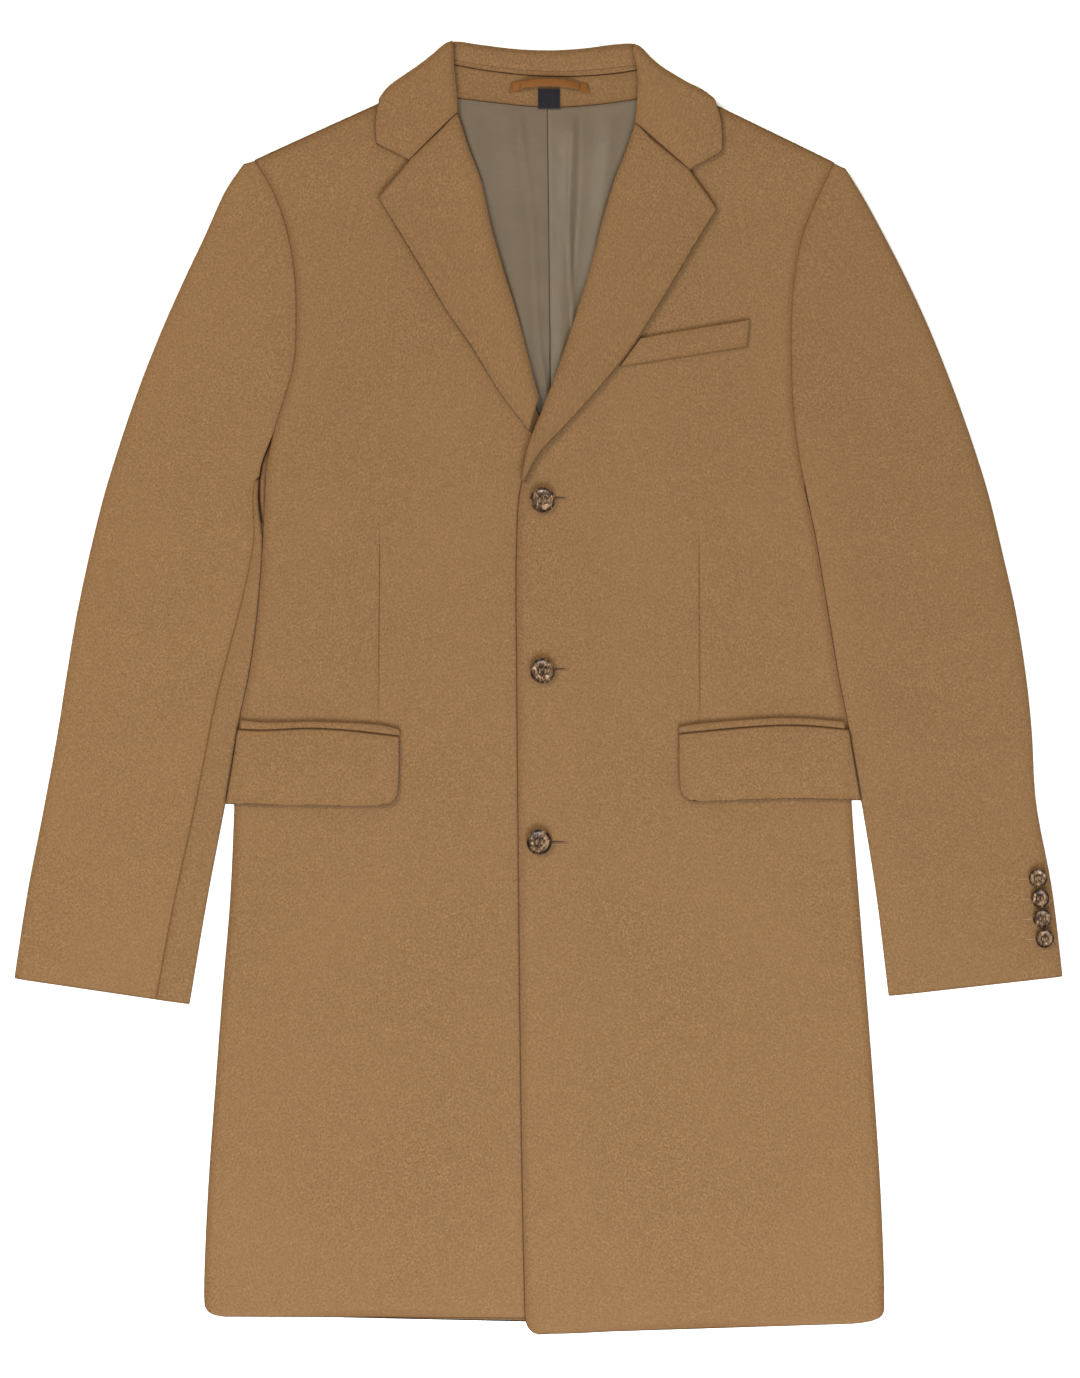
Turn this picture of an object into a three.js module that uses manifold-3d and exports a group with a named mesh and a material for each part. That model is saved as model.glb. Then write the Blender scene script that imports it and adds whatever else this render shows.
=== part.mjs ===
// Single-breasted overcoat laid on its back on a flat surface. Millimetres, +Z up, +Y towards the collar.
// The wearer's left is +X. Lower panels lie on the surface, upper panels lie on them, edges round down.
import * as THREE from 'three';
import Module from 'manifold-3d';
import { mergeVertices } from 'three/addons/utils/BufferGeometryUtils.js';

const wasm = await Module();
wasm.setup();

// ---------- driving dimensions ----------
const CLOTH = 2;             // coat cloth
const LAPEL_CLOTH = 3;       // lapel, two plies turned
const COLLAR_CLOTH = 2.6;    // collar fall and leaves
const FLAP_CLOTH = 2.4;      // pocket flap, two plies
const TRIM = 1.2;            // jets, welt, facing, loop
const LINING = 1;            // lining and label
const GAP = 0.4;             // between pieces at a seam
const LOW = CLOTH / 2;       // mid height of the lower panels
const BODY = 5;              // mid height of the fronts
const SLEEVE = 6.4;          // mid height of the upper side of a sleeve
const RIM = 3.4;             // mid height of an upper panel where it meets the lower one
const ROUND = 13;            // width over which an edge rounds down
const NECK_LIFT = 3.8;       // rise of all panels over the collar fall
const NECK_RAMP = [368, 432];
const LAP_RISE = 2.6;        // rise of the left front where it laps over the right front
const LAP_RAMP = [27, 62];
const LAP_TOP = [228, 285];
const FIRST_WRAP = 5;        // how much of the cloth turns round a sleeve at the armpit
const WRAP = 22;             // cloth that turns round a sleeve's inner edge
const CUFF_WRAP = 5;         // how much more of it there is at the cuff
const LAPEL_STAND = 1.2;     // air under the lapels and leaves
const FLAP_CLEAR = 0.6;      // between a flap's outer end and the sleeve
const FLAP_STAND = 0.9;      // air under the pocket pieces
const INSIDE_GAP = 0.45;     // air under the facing and the lining
const EDGE_STEPS = [0, 3, 13];  // distances from a rounded edge that get a grid line
const UNDER_ARM = 4.8;       // widest opening below the right arm
const CENTRE_BACK = 4;
const BUTTON = { radius: 10, height: 3.2, hole: 1.1, spread: 3.1, shank: 0.7 };
const CUFF_BUTTON = { radius: 7.4, height: 2.8, hole: 0.85, spread: 2.2, shank: 0.7 };

// ---------- tables: a row per section, seam = armhole then inner edge, edge = outer edge ----------
const SLEEVES = {
  right: [
    { seam: [-224, 415], edge: [-232, 412.5] },
    { seam: [-211.3, 394.2], edge: [-247, 391] },
    { seam: [-200.3, 365.8], edge: [-264, 354] },
    { seam: [-193.2, 329.4], edge: [-281.5, 317] },
    { seam: [-191.6, 293.1], edge: [-297, 282] },
    { seam: [-193.2, 256.8], edge: [-311.5, 246] },
    { seam: [-200.3, 229.9], edge: [-323, 214] },
    { seam: [-209.4, 200], edge: [-333.5, 182] },
    { seam: [-216.4, 163], edge: [-344, 147] },
    { seam: [-217.9, 114], edge: [-354.5, 104] },
    { seam: [-222, 59], edge: [-365, 54] },
    { seam: [-228.3, 12], edge: [-373, 6] },
    { seam: [-236.5, -28], edge: [-379.5, -36] },
    { seam: [-247, -90], edge: [-390.5, -96] },
    { seam: [-261.9, -169], edge: [-403.5, -163] },
    { seam: [-275.8, -251.5], edge: [-414, -231] },
  ],
  left: [
    { seam: [233.5, 413], edge: [241.5, 409] },
    { seam: [222, 389], edge: [258, 383] },
    { seam: [209.5, 358], edge: [278, 346] },
    { seam: [203, 325], edge: [294, 314] },
    { seam: [200.3, 290], edge: [309, 281] },
    { seam: [200.3, 250], edge: [324, 244] },
    { seam: [201.5, 221], edge: [334, 217] },
    { seam: [205, 190], edge: [345, 185] },
    { seam: [211, 155], edge: [356, 149] },
    { seam: [219, 117], edge: [366, 107] },
    { seam: [228.7, 59], edge: [377, 58] },
    { seam: [237, 8], edge: [385, 8] },
    { seam: [244.2, -29], edge: [389.5, -35] },
    { seam: [255, -90], edge: [393, -92] },
    { seam: [267, -165], edge: [405.5, -160] },
    { seam: [276.8, -245], edge: [414, -229.5] },
  ],
};
const ARMPIT = 8;            // row of the tables above where the armhole ends
// the side of the body below the armpit, then the hem corner
const SIDES = {
  right: [
    [-216.4, 163], [-217.9, 114], [-222, 59], [-228.3, 12], [-236.4, -27], [-238, -44], [-240, -90],
    [-243.6, -169], [-249.5, -240], [-255.5, -320], [-260.8, -395], [-263.8, -460], [-264.1, -484],
    [-263.4, -490.5], [-260.8, -494.2], [-256, -496.4], [-249, -497.7],
  ],
  left: [
    [211, 155], [219, 117], [228.7, 59], [237, 8], [244.1, -28], [245.6, -44], [247.2, -90], [253.2, -169],
    [258.8, -240], [265, -320], [270, -395], [272.8, -460], [273.2, -486], [272.8, -494.8],
    [270.2, -498.2], [265, -500.5], [256.5, -502.4], [248, -503.2],
  ],
};
// the inner line of each front: neck point, beside the roll line, then the front edge down to the hem
const FRONT_LINES = {
  right: [
    [-80, 480.5], [-68, 455], [-58, 425], [-50, 399], [-43, 367], [-33.5, 332], [-22.5, 295], [-13, 258],
    [-2.8, 222], [15, 190], [22.5, 150], [22.5, 100], [22.5, 20], [22.5, -100], [22.5, -240], [22.5, -395],
    [22.5, -488], [22, -494], [19.5, -497.6], [14, -498.8],
  ],
  left: [
    [90, 482.5], [83, 455], [75, 425], [65, 399], [55.5, 367], [45.5, 328], [33, 288], [20.8, 251],
    [8, 218], [-3.5, 190], [-14.6, 155], [-17.6, 100], [-17.4, 20], [-16.4, -100], [-15, -240],
    [-13, -395], [-11.2, -478], [-10.6, -498], [-8.8, -505], [-5.2, -509.4], [0, -511.3],
  ],
};
const LAPELS = {
  right: {
    roll: [
      [-64.2, 451.7], [-55.5, 424], [-46.2, 399.7], [-39.1, 367.4], [-29.3, 332], [-18, 295.5],
      [-8.3, 258.6], [-0.4, 226],
    ],
    edge: [
      [-127.2, 385.5], [-113, 362], [-99.9, 340.5], [-86, 317.5], [-73.1, 295.5], [-51.7, 264.7],
      [-32, 233], [-7, 200.5],
    ],
    notch: [-101.9, 414.4],
  },
  left: {
    roll: [
      [76.6, 443.7], [70.4, 424], [60.8, 399.7], [51, 366.6], [41.2, 328.6], [28.4, 287.9], [16.2, 251.6],
      [3.4, 217.5], [-7.6, 190], [-13.9, 163],
    ],
    edge: [
      [141.6, 376.6], [127, 353], [112, 328], [96, 301.5], [79.8, 275.7], [64.4, 254.4], [39.1, 224.4],
      [17, 200.5], [1.2, 183.3], [-10.9, 161],
    ],
    notch: [119.2, 406.7],
  },
};
// each leaf of the collar: its roll from the gorge up, the notch and tip, the free edge up to the shoulder,
// and the outline of the fold over the shoulder from the roll outwards
const COLLAR_LEAVES = {
  right: {
    roll: [
      [-64.4, 452.3], [-65.2, 466], [-66.8, 480], [-68.2, 494], [-68.8, 503.5],
    ],
    notch: [-102.1, 414.9],
    tip: [-128.2, 427.2],
    free: [
      [-128.2, 427.2], [-128.8, 438], [-127.6, 449], [-123.4, 460],
    ],
    fold: [
      [-68.2, 509.8], [-73.4, 507.9], [-83.6, 499.4], [-93.1, 491.9], [-102.7, 485.2], [-112.3, 478.7],
      [-119.2, 473], [-123.6, 465.5],
    ],
  },
  left: {
    roll: [
      [76.7, 444.3], [78.2, 460], [79.4, 474], [79, 488], [76.6, 501],
    ],
    notch: [119.4, 407.2],
    tip: [145.4, 422],
    free: [
      [145.4, 422], [145, 434], [142.6, 446], [137, 456],
    ],
    fold: [
      [75.4, 507.6], [81, 504.9], [89, 496.4], [98.3, 488.9], [107.9, 483], [117.5, 477.3], [128.2, 472],
      [137.2, 464.6],
    ],
  },
};
const FALL_DROP = -20;       // how far the fall's lower edge hangs below its ends at the centre back
// across the back neck, seen from inside: the top of the collar, the foot of the stand
// and the foot of the facing
const NECK_TOP = [
  [-71, 508.8], [-66, 509.2], [-45.3, 506.3], [-18.5, 503.1], [8.3, 502], [35.2, 503.5], [60, 506.7],
  [73, 507.4], [79, 506.6],
];
const STAND_SEAM = [
  [-70, 491.8], [-45.3, 487.1], [-18.5, 483.7], [8.3, 481.6], [40.8, 482.4], [61.9, 484.4], [81, 487.5],
];
const FACING_SEAM = [
  [-70, 465.4], [-33.8, 461], [-0.3, 457.8], [17.9, 457.6], [50.5, 460.1], [83, 464.6],
];
const STAND_BACK = 1.2;      // how far the stand's top stays inside the fold
const STAND_ENDS = [-62, 72];
const FACING_ENDS = [-66, 78];
// each hip pocket from the side seam inwards: the jet's upper edge, the edge it shares with the flap, the hem
const POCKETS = {
  right: {
    top: [
      [-236.5, -26], [-216.5, -27.9], [-181.4, -27.4], [-155.1, -28.1], [-125.2, -30], [-109, -33.6],
    ],
    mouth: [
      [-239, -34], [-216.5, -34.6], [-181.4, -33.2], [-154, -34.4], [-109, -39.4],
    ],
    hem: [
      [-248, -93], [-199, -94.1], [-150, -94.6], [-125, -94.6], [-109, -94.4],
    ],
  },
  left: {
    top: [
      [242.5, -27.6], [213.9, -25], [188.1, -24.5], [151.3, -26.8], [121.8, -29.6], [110.2, -31.8],
    ],
    mouth: [
      [244.5, -34], [213.9, -31.2], [188.1, -30.8], [140.2, -34.4], [110.2, -37.4],
    ],
    hem: [
      [254, -90.2], [223, -89.4], [197, -89], [168, -89.9], [123.6, -91.4], [110, -91.8],
    ],
  },
};
const LOOP = { from: [-22.5, 472.6], to: [40, 471.6], arch: 4.2, half: 3.4, air: 2, rise: 2.6 };
const LABEL = { span: [-0.4, 17], top: 471.5, foot: 456 };
const FLAP_INNER = { right: -109.6, left: 110.4 };
const JET_ENDS = { right: [-235.6, -109.2], left: [242.2, 110.2] };
const WELT = [[80.3, 275.4], [63.6, 252.4], [167.2, 290], [165, 268.2]];
const FRONT_BUTTONS = [[3.2, 146.9], [3.2, 12.2], [0.6, -122.8]];
const CUFF_BUTTONS = [[394, -151.4], [395.6, -167.3], [397.4, -183.1], [399.3, -199]];
const CAMEL = 0x9c744c;
const SATIN = 0x7f6f5b;
const TAN = 0x7d4c1c;
const NAVY = 0x1f2029;
const HORN = 0x3a2616;

// ---------- small helpers ----------
const mix = (a, b, t) => a + (b - a) * t;
const mix2 = (a, b, t) => [mix(a[0], b[0], t), mix(a[1], b[1], t)];
const clamp01 = (t) => Math.min(Math.max(t, 0), 1);
const smooth = (a, b, x) => {
  const t = clamp01((x - a) / (b - a));
  return t * t * (3 - 2 * t);
};
const quarter = (d) => Math.sqrt(1 - (1 - clamp01(d)) ** 2);
const lift = (y) => NECK_LIFT * smooth(NECK_RAMP[0], NECK_RAMP[1], y);

// a smooth curve through points, read at n evenly spaced steps of its rows
function through(points, n) {
  const vectors = points.map(([x, y]) => new THREE.Vector3(x, y, 0));
  const curve = new THREE.CatmullRomCurve3(vectors, false, 'centripetal');
  return Array.from({ length: n }, (_, i) => {
    const p = curve.getPoint(i / (n - 1));
    return [p.x, p.y];
  });
}

// moves a line of points sideways, to its left for a positive distance
function aside(points, distance) {
  return points.map((p, i) => {
    const a = points[Math.max(i - 1, 0)];
    const b = points[Math.min(i + 1, points.length - 1)];
    const length = Math.hypot(b[0] - a[0], b[1] - a[1]);
    return [p[0] - (b[1] - a[1]) / length * distance, p[1] + (b[0] - a[0]) / length * distance];
  });
}

// the x of a line of points at a height y
function lineX(points, y) {
  for (let i = 1; i < points.length; i++) {
    const [a, b] = [points[i - 1], points[i]];
    if (y <= a[1] && y >= b[1]) return mix(a[0], b[0], (a[1] - y) / (a[1] - b[1] || 1));
  }
  return y > points[0][1] ? points[0][0] : points[points.length - 1][0];
}

// the y of a curve at an x, for curves that run steadily to one side
function levelOn(points, x) {
  const line = through(points, 61).sort((a, b) => a[0] - b[0]);
  const next = line.findIndex((p) => p[0] >= x);
  if (next <= 0) return next === 0 ? line[0][1] : line[line.length - 1][1];
  const [a, b] = [line[next - 1], line[next]];
  return mix(a[1], b[1], (x - a[0]) / (b[0] - a[0]));
}

// a point of a line at a fraction of its rows
function readAt(line, u) {
  const k = clamp01(u) * (line.length - 1);
  const i = Math.min(Math.floor(k), line.length - 2);
  return mix2(line[i], line[i + 1], k - i);
}

// a closed sheet from a grid of mid points, thickened along the grid's normals
function sheet(rows, thickness) {
  const m = rows.length;
  const n = rows[0].length;
  const within = (k, count) => Math.min(Math.max(k, 0), count - 1);
  const at = (i, j) => new THREE.Vector3(...rows[within(i, m)][within(j, n)]);
  const positions = [];
  for (const side of [1, -1]) {
    for (let i = 0; i < m; i++) {
      for (let j = 0; j < n; j++) {
        const down = at(i + 1, j).sub(at(i - 1, j));
        const across = at(i, j + 1).sub(at(i, j - 1));
        const normal = across.cross(down).normalize();
        positions.push(...at(i, j).addScaledVector(normal, side * thickness / 2).toArray());
      }
    }
  }
  const index = [];
  const top = (i, j) => i * n + j;
  const low = (i, j) => m * n + i * n + j;
  const quad = (a, b, c, d) => index.push(a, b, c, a, c, d);
  for (let i = 0; i < m - 1; i++) {
    for (let j = 0; j < n - 1; j++) {
      quad(top(i, j), top(i, j + 1), top(i + 1, j + 1), top(i + 1, j));
      quad(low(i, j), low(i + 1, j), low(i + 1, j + 1), low(i, j + 1));
    }
    quad(top(i, 0), top(i + 1, 0), low(i + 1, 0), low(i, 0));
    quad(top(i + 1, n - 1), top(i, n - 1), low(i, n - 1), low(i + 1, n - 1));
  }
  for (let j = 0; j < n - 1; j++) {
    quad(top(0, j + 1), top(0, j), low(0, j), low(0, j + 1));
    quad(top(m - 1, j), top(m - 1, j + 1), low(m - 1, j + 1), low(m - 1, j));
  }
  const geometry = new THREE.BufferGeometry();
  geometry.setAttribute('position', new THREE.Float32BufferAttribute(positions, 3));
  geometry.setIndex(index);
  return outward(geometry);
}

// turns every face over when the closed body's volume comes out negative
function outward(geometry) {
  const p = geometry.attributes.position;
  const index = geometry.index.array;
  const [a, b, c] = [new THREE.Vector3(), new THREE.Vector3(), new THREE.Vector3()];
  let volume = 0;
  for (let i = 0; i < index.length; i += 3) {
    a.fromBufferAttribute(p, index[i]);
    b.fromBufferAttribute(p, index[i + 1]);
    c.fromBufferAttribute(p, index[i + 2]);
    volume += a.dot(b.cross(c));
  }
  if (volume < 0) {
    for (let i = 0; i < index.length; i += 3) [index[i + 1], index[i + 2]] = [index[i + 2], index[i + 1]];
  }
  return geometry;
}

const coat = new THREE.Group();
function add(name, geometry, colour = CAMEL, roughness = 0.95) {
  const material = new THREE.MeshStandardMaterial({ color: colour, roughness, metalness: 0 });
  const mesh = new THREE.Mesh(geometry, material);
  mesh.name = name;
  coat.add(mesh);
  return mesh;
}

// ---------- shared lines ----------
const SLEEVE_STEPS = 31;     // grid rows of a sleeve, two for each table row
const ARM_STEPS = 2 * ARMPIT + 1;
const SIDE_STEPS = 21;
const outline = {};
for (const part of ['right', 'left']) {
  const seam = through(SLEEVES[part].map((row) => row.seam), SLEEVE_STEPS);
  const edge = through(SLEEVES[part].map((row) => row.edge), SLEEVE_STEPS);
  const side = through(SIDES[part], SIDE_STEPS);
  const front = through(FRONT_LINES[part], ARM_STEPS + SIDE_STEPS - 1);
  outline[part] = { seam, edge, side, front, sign: part === 'right' ? -1 : 1 };
}

// ---------- heights ----------
// mid height of a front at a point, from its distance to the side and to the shoulder line
function frontMid(part, x, y) {
  const { side, seam, sign } = outline[part];
  const armpit = side[0][1];
  const inward = y < armpit ? (lineX(side, y) - x) * sign : ROUND;
  const settle = smooth(armpit, armpit - 25, y);
  const tip = seam[0];
  const neck = outline[part].front[0];
  const slope = (neck[1] - tip[1]) / (neck[0] - tip[0]);
  const below = (tip[1] + slope * (x - tip[0]) - y) / Math.hypot(1, slope);
  const rounded = Math.min(quarter(below / ROUND), mix(1, quarter(inward / ROUND), settle));
  const lap = part === 'left' ? LAP_RISE * (1 - smooth(...LAP_RAMP, x)) * (1 - smooth(...LAP_TOP, y)) : 0;
  return mix(RIM, BODY, rounded) + lap + lift(y);
}

// ---------- body panels ----------
function columns(width, count, steps = EDGE_STEPS) {
  const rest = count - steps.length + 1;
  const last = Math.min(steps[steps.length - 1], width * 0.5);
  const scale = last / steps[steps.length - 1];
  const near = steps.slice(0, -1).map((d) => d * scale / width);
  const far = Array.from({ length: rest }, (_, i) => mix(last / width, 1, i / (rest - 1)));
  return [...near, ...far];
}

// the same near the side, then lines where the left front rises over the right one
const LAP_STEPS = { right: [80, 0], left: [80, 62, 42, 0] };
function frontColumns(part, width) {
  const far = LAP_STEPS[part].map((d) => 1 - d / width);
  const near = EDGE_STEPS.map((d) => d / width);
  const [a, b] = [near[near.length - 1], far[0]];
  return [...near, mix(a, b, 1 / 3), mix(a, b, 2 / 3), ...far];
}

function bodyOutline(part) {
  const { seam, side, sign } = outline[part];
  const armhole = seam.slice(0, ARM_STEPS - 1);
  return aside([...armhole, ...side], sign * -GAP / 2);
}

// how far the right sleeve hangs away from the side below the arm; the back shows in the opening
const underArm = (part, y) => (part === 'right' ? UNDER_ARM * smooth(206, 172, y) * smooth(108, 156, y) : 0);

const SHOULDER_ROWS = [0, 0.035, 0.11, 0.32];
function front(part) {
  const outer = bodyOutline(part);
  const inner = outline[part].front;
  const rows = [];
  for (let i = 0; i < outer.length; i++) {
    const next = Math.min(i + 1, outer.length - 1);
    for (const k of i === 0 ? SHOULDER_ROWS : [0]) {
      const o = mix2(outer[i], outer[next], k);
      const n = mix2(inner[i], inner[next], k);
      const width = Math.hypot(n[0] - o[0], n[1] - o[1]);
      rows.push(frontColumns(part, width).map((t) => {
        const [x, y] = mix2(o, n, t);
        return [x, y, frontMid(part, x, y)];
      }));
    }
  }
  return sheet(rows, CLOTH);
}

const NECK_CENTRE = 483;     // the neck seam at the centre back
const HEM = -503;
// the back's upper line: shoulder to neck point, then the neck seam
function back(part) {
  const outer = bodyOutline(part).filter((_, i) => i < ARM_STEPS + 4 || i % 2 === 0)
    .map(([x, y]) => [x - underArm(part, y), y]);
  const neck = outline[part].front[0];
  const centre = CENTRE_BACK + outline[part].sign * GAP / 2;
  const count = 5;
  const rows = outer.map((o, i) => {
    const t = i / (outer.length - 1);
    const fade = 1 - smooth(0, 0.42, t);
    return Array.from({ length: count }, (_, j) => {
      const s = j / (count - 1);
      const x = mix(o[0], centre, s);
      const reach = clamp01((x - outer[0][0]) / (neck[0] - outer[0][0]));
      const top = mix(outer[0][1], neck[1], reach) + (NECK_CENTRE - neck[1]) * smooth(neck[0], centre, x);
      const y = o[1] + (top - outer[0][1]) * fade + (HEM - o[1]) * s * smooth(0.9, 1, t);
      return [x, y, LOW + lift(y)];
    });
  });
  return sheet(rows, CLOTH);
}

// ---------- sleeves ----------
// wrapOver: the lower piece turns up round the inner edge to a seam on the upper side,
// and the other way round
function sleeve(part, wrapOver) {
  const { seam, edge, sign } = outline[part];
  const inner = aside(seam, sign * GAP / 2).map(([x, y]) => [x - underArm(part, y), y]);
  const radius = (SLEEVE - LOW) / 2;
  const turns = 4;
  const upper = [];
  const lower = [];
  for (let i = 0; i < SLEEVE_STEPS; i++) {
    const [from, to] = [edge[i], inner[i]];
    const width = Math.hypot(to[0] - from[0], to[1] - from[1]);
    const at = (d, z) => {
      const [x, y] = mix2(from, to, d / width);
      return [x, y, z + lift(y)];
    };
    const below = i >= ARM_STEPS - 1;
    const open = below ? 1 : 0;
    const sink = (d) => (below ? 0 : (SLEEVE - BODY) * (1 - smooth(0, 25, width - d)) * quarter(d / ROUND));
    const topZ = (d) => mix(RIM, SLEEVE, quarter(d / ROUND)) - sink(d);
    const wrap = mix(FIRST_WRAP, WRAP, smooth(ARM_STEPS - 1, ARM_STEPS + 6, i))
      + CUFF_WRAP * smooth(ARM_STEPS + 6, SLEEVE_STEPS, i);
    const turnAt = width - (CLOTH / 2 + radius) * open;
    const seamAt = below ? width - wrap : width - 2;
    const arc = Array.from({ length: turns }, (_, k) => {
      const angle = (k / (turns - 1)) * Math.PI;
      return { d: turnAt + radius * Math.sin(angle), z: LOW + radius * (1 - Math.cos(angle)) };
    });
    const stub = (k) => at(mix(seamAt, width, (k + 1) / (turns + 1)), LOW);
    const spread = (end, count) => columns(end, count).map((t) => t * end);
    if (wrapOver) {
      const flat = [0, 0.4, 0.8].map((t) => at((below ? turnAt - 4 : seamAt) * t, LOW));
      const ring = below
        ? [at(turnAt - 4, LOW), ...arc.map((p) => at(p.d, p.z)), at(seamAt + GAP, SLEEVE)]
        : [at(seamAt, LOW), ...arc.map((_, k) => stub(k)), at(width, LOW)];
      lower.push([...flat, ...ring]);
      const end = below ? seamAt : width;
      upper.push(spread(end, 6).map((d) => at(d, topZ(d))));
    } else {
      const back = [0, 0.35, 0.7, 1].map((t) => at((below ? seamAt - GAP : width) * t, LOW));
      lower.push(back);
      const end = below ? turnAt - 4 : seamAt;
      const ring = below
        ? [...arc.slice().reverse().map((p) => at(p.d, p.z)), at(seamAt, LOW)]
        : [...arc.map((_, k) => mix(seamAt, width, (k + 1) / (turns + 1))), width].map((d) => at(d, topZ(d)));
      upper.push([...spread(end, 5).map((d) => at(d, topZ(d))), ...ring]);
    }
  }
  return { upper: sheet(upper, CLOTH), lower: sheet(lower, CLOTH) };
}

// ---------- lapels ----------
const LAPEL_EDGE = [0, 1.2, 3.6, 9];   // distances from the roll that get a grid line
const LAPEL_SINK = 2.4;                // how far the roll lies below the rest of the lapel
function lapel(part) {
  const { roll, edge, notch } = LAPELS[part];
  const count = part === 'right' ? 10 : 13;
  const rollLine = through(roll, count);
  const edgeLine = through(edge, count);
  const rows = rollLine.map((r, i) => {
    const e = edgeLine[i];
    const width = Math.hypot(e[0] - r[0], e[1] - r[1]);
    const bend = i === 0 ? 1 : 0;
    return columns(width, 7, LAPEL_EDGE).map((t) => {
      let [x, y] = mix2(r, e, t);
      const side = mix2(r, e, 0.6);
      const pull = bend * Math.max(0, 1 - Math.abs(t - 0.6) / 0.4);
      x += (notch[0] - side[0]) * pull;
      y += (notch[1] - side[1]) * pull;
      const rest = frontMid(part, x, y) + CLOTH / 2 + LAPEL_STAND + LAPEL_CLOTH / 2;
      const drop = LAPEL_SINK * (1 - quarter(t * width / LAPEL_EDGE[3])) * Math.min(1, width / 20);
      return [x, y, rest - drop];
    });
  });
  return sheet(rows, LAPEL_CLOTH);
}

// ---------- collar ----------
const NOTCH_AT = 0.6;        // where the notch comes along the low side of a leaf
const ACROSS = [0, 0.15, 0.3, 0.45, 0.6, 0.8, 1];
const LEAF_ROWS = [0, 0.25, 0.5, 0.75, 1];
const COLLAR_BASE = COLLAR_CLOTH / 2;
const COLLAR_PEAK = BODY + CLOTH / 2 + LAPEL_STAND + LAPEL_CLOTH / 2 + NECK_LIFT;
const COLLAR_TURN = (COLLAR_PEAK - COLLAR_BASE) / 2;
const unit = ([x, y]) => [x / Math.hypot(x, y), y / Math.hypot(x, y)];

// the two long sides of a leaf: from the roll by the notch to the tip,
// and along the fold with its outward way
function leafSides(part) {
  const { roll, notch, tip, free, fold } = COLLAR_LEAVES[part];
  const sign = outline[part].sign;
  const foldLine = through(fold, 41);
  const [last, before] = [free[free.length - 1], free[free.length - 2]];
  const alongFree = unit([last[0] - before[0], last[1] - before[1]]);
  return ACROSS.map((t) => {
    const beyond = (t - NOTCH_AT) / (1 - NOTCH_AT);
    const low = t < NOTCH_AT ? mix2(roll[0], notch, t / NOTCH_AT) : mix2(notch, tip, beyond);
    const outer = readAt(foldLine, t);
    const [a, b] = [readAt(foldLine, t - 0.05), readAt(foldLine, t + 0.05)];
    const square = unit([(a[1] - b[1]) * sign, (b[0] - a[0]) * sign]);
    const upright = unit(mix2(square, [0, 1], smooth(0.2, 0, t)));
    const out = unit(mix2(upright, alongFree, smooth(0.72, 1, t)));
    const back = COLLAR_TURN + COLLAR_CLOTH / 2;
    return { low, out, high: [outer[0] - out[0] * back, outer[1] - out[1] * back] };
  });
}

// a leaf stretched between its four sides
function leafRows(part, sides) {
  const { roll, free } = COLLAR_LEAVES[part];
  const [first, final] = [sides[0], sides[sides.length - 1]];
  const [rollLine, freeLine] = [through(roll, 21), through(free, 21)];
  const bent = (line, u, target) => [0, 1].map((k) => readAt(line, u)[k]
    + (target[k] - line[line.length - 1][k]) * u ** 2);
  return LEAF_ROWS.map((u) => {
    const [start, end] = [bent(rollLine, u, first.high), bent(freeLine, u, final.high)];
    return ACROSS.map((t, j) => {
      const { low, high } = sides[j];
      const corners = mix2(mix2(first.low, final.low, t), mix2(first.high, final.high, t), u);
      const [along, across] = [mix2(low, high, u), mix2(start, end, t)];
      return [along[0] + across[0] - corners[0], along[1] + across[1] - corners[1], COLLAR_PEAK];
    });
  });
}

const TURN_ROWS = 5;
function turnRows(sides) {
  return Array.from({ length: TURN_ROWS }, (_, k) => {
    const angle = ((k + 1) / TURN_ROWS) * Math.PI;
    const [reach, z] = [COLLAR_TURN * Math.sin(angle), COLLAR_BASE + COLLAR_TURN * (1 + Math.cos(angle))];
    return sides.map(({ high, out }) => [high[0] + out[0] * reach, high[1] + out[1] * reach, z]);
  });
}

const FALL_ROWS = 12;
function fallRows(right, left) {
  const last = ACROSS.length - 1;
  const bend = (fold, j) => [0, 1].map((k) => fold[j][k] - mix(fold[0][k], fold[last][k], ACROSS[j]));
  return Array.from({ length: FALL_ROWS - 1 }, (_, i) => {
    const u = (i + 1) / FALL_ROWS;
    const x = mix(right[0][0], left[0][0], u);
    const near = smooth(0, 0.1, u) * smooth(1, 0.9, u);
    const level = levelOn(NECK_TOP, x) - COLLAR_CLOTH;
    const roll = [x, mix(mix(right[0][1], left[0][1], u), level, near)];
    const edge = mix2(right[last], left[last], u);
    edge[1] += FALL_DROP * Math.sin(Math.PI * u);
    return ACROSS.map((t, j) => {
      const [p, a, b] = [mix2(roll, edge, t), bend(right, j), bend(left, j)];
      const [wa, wb] = [smooth(0.25, 0, u), smooth(0.75, 1, u)];
      return [p[0] + a[0] * wa + b[0] * wb, p[1] + a[1] * wa + b[1] * wb, COLLAR_BASE];
    });
  });
}

// one ribbon: leaf on the right front, round under the back neck, leaf on the left front
function collar() {
  const ends = ['right', 'left'].map((part) => {
    const sides = leafSides(part);
    return [...leafRows(part, sides), ...turnRows(sides)];
  });
  const [right, left] = ends;
  const fall = fallRows(right[right.length - 1], left[left.length - 1]);
  return sheet([...right, ...fall, ...left.slice().reverse()], COLLAR_CLOTH);
}

// ---------- inside the neck ----------
// a band across the back neck between two curves
function neckBand(high, low, span, height, thickness, count, steps) {
  const rows = steps.map((t) => Array.from({ length: count }, (_, j) => {
    const x = mix(span[0], span[1], j / (count - 1));
    const y = mix(levelOn(high, x), levelOn(low, x), t);
    return [x, y, height(y, t)];
  }));
  return sheet(rows, thickness);
}
const onBack = (thickness, gap) => (y) => LOW + CLOTH / 2 + gap + thickness / 2 + lift(y);

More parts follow.
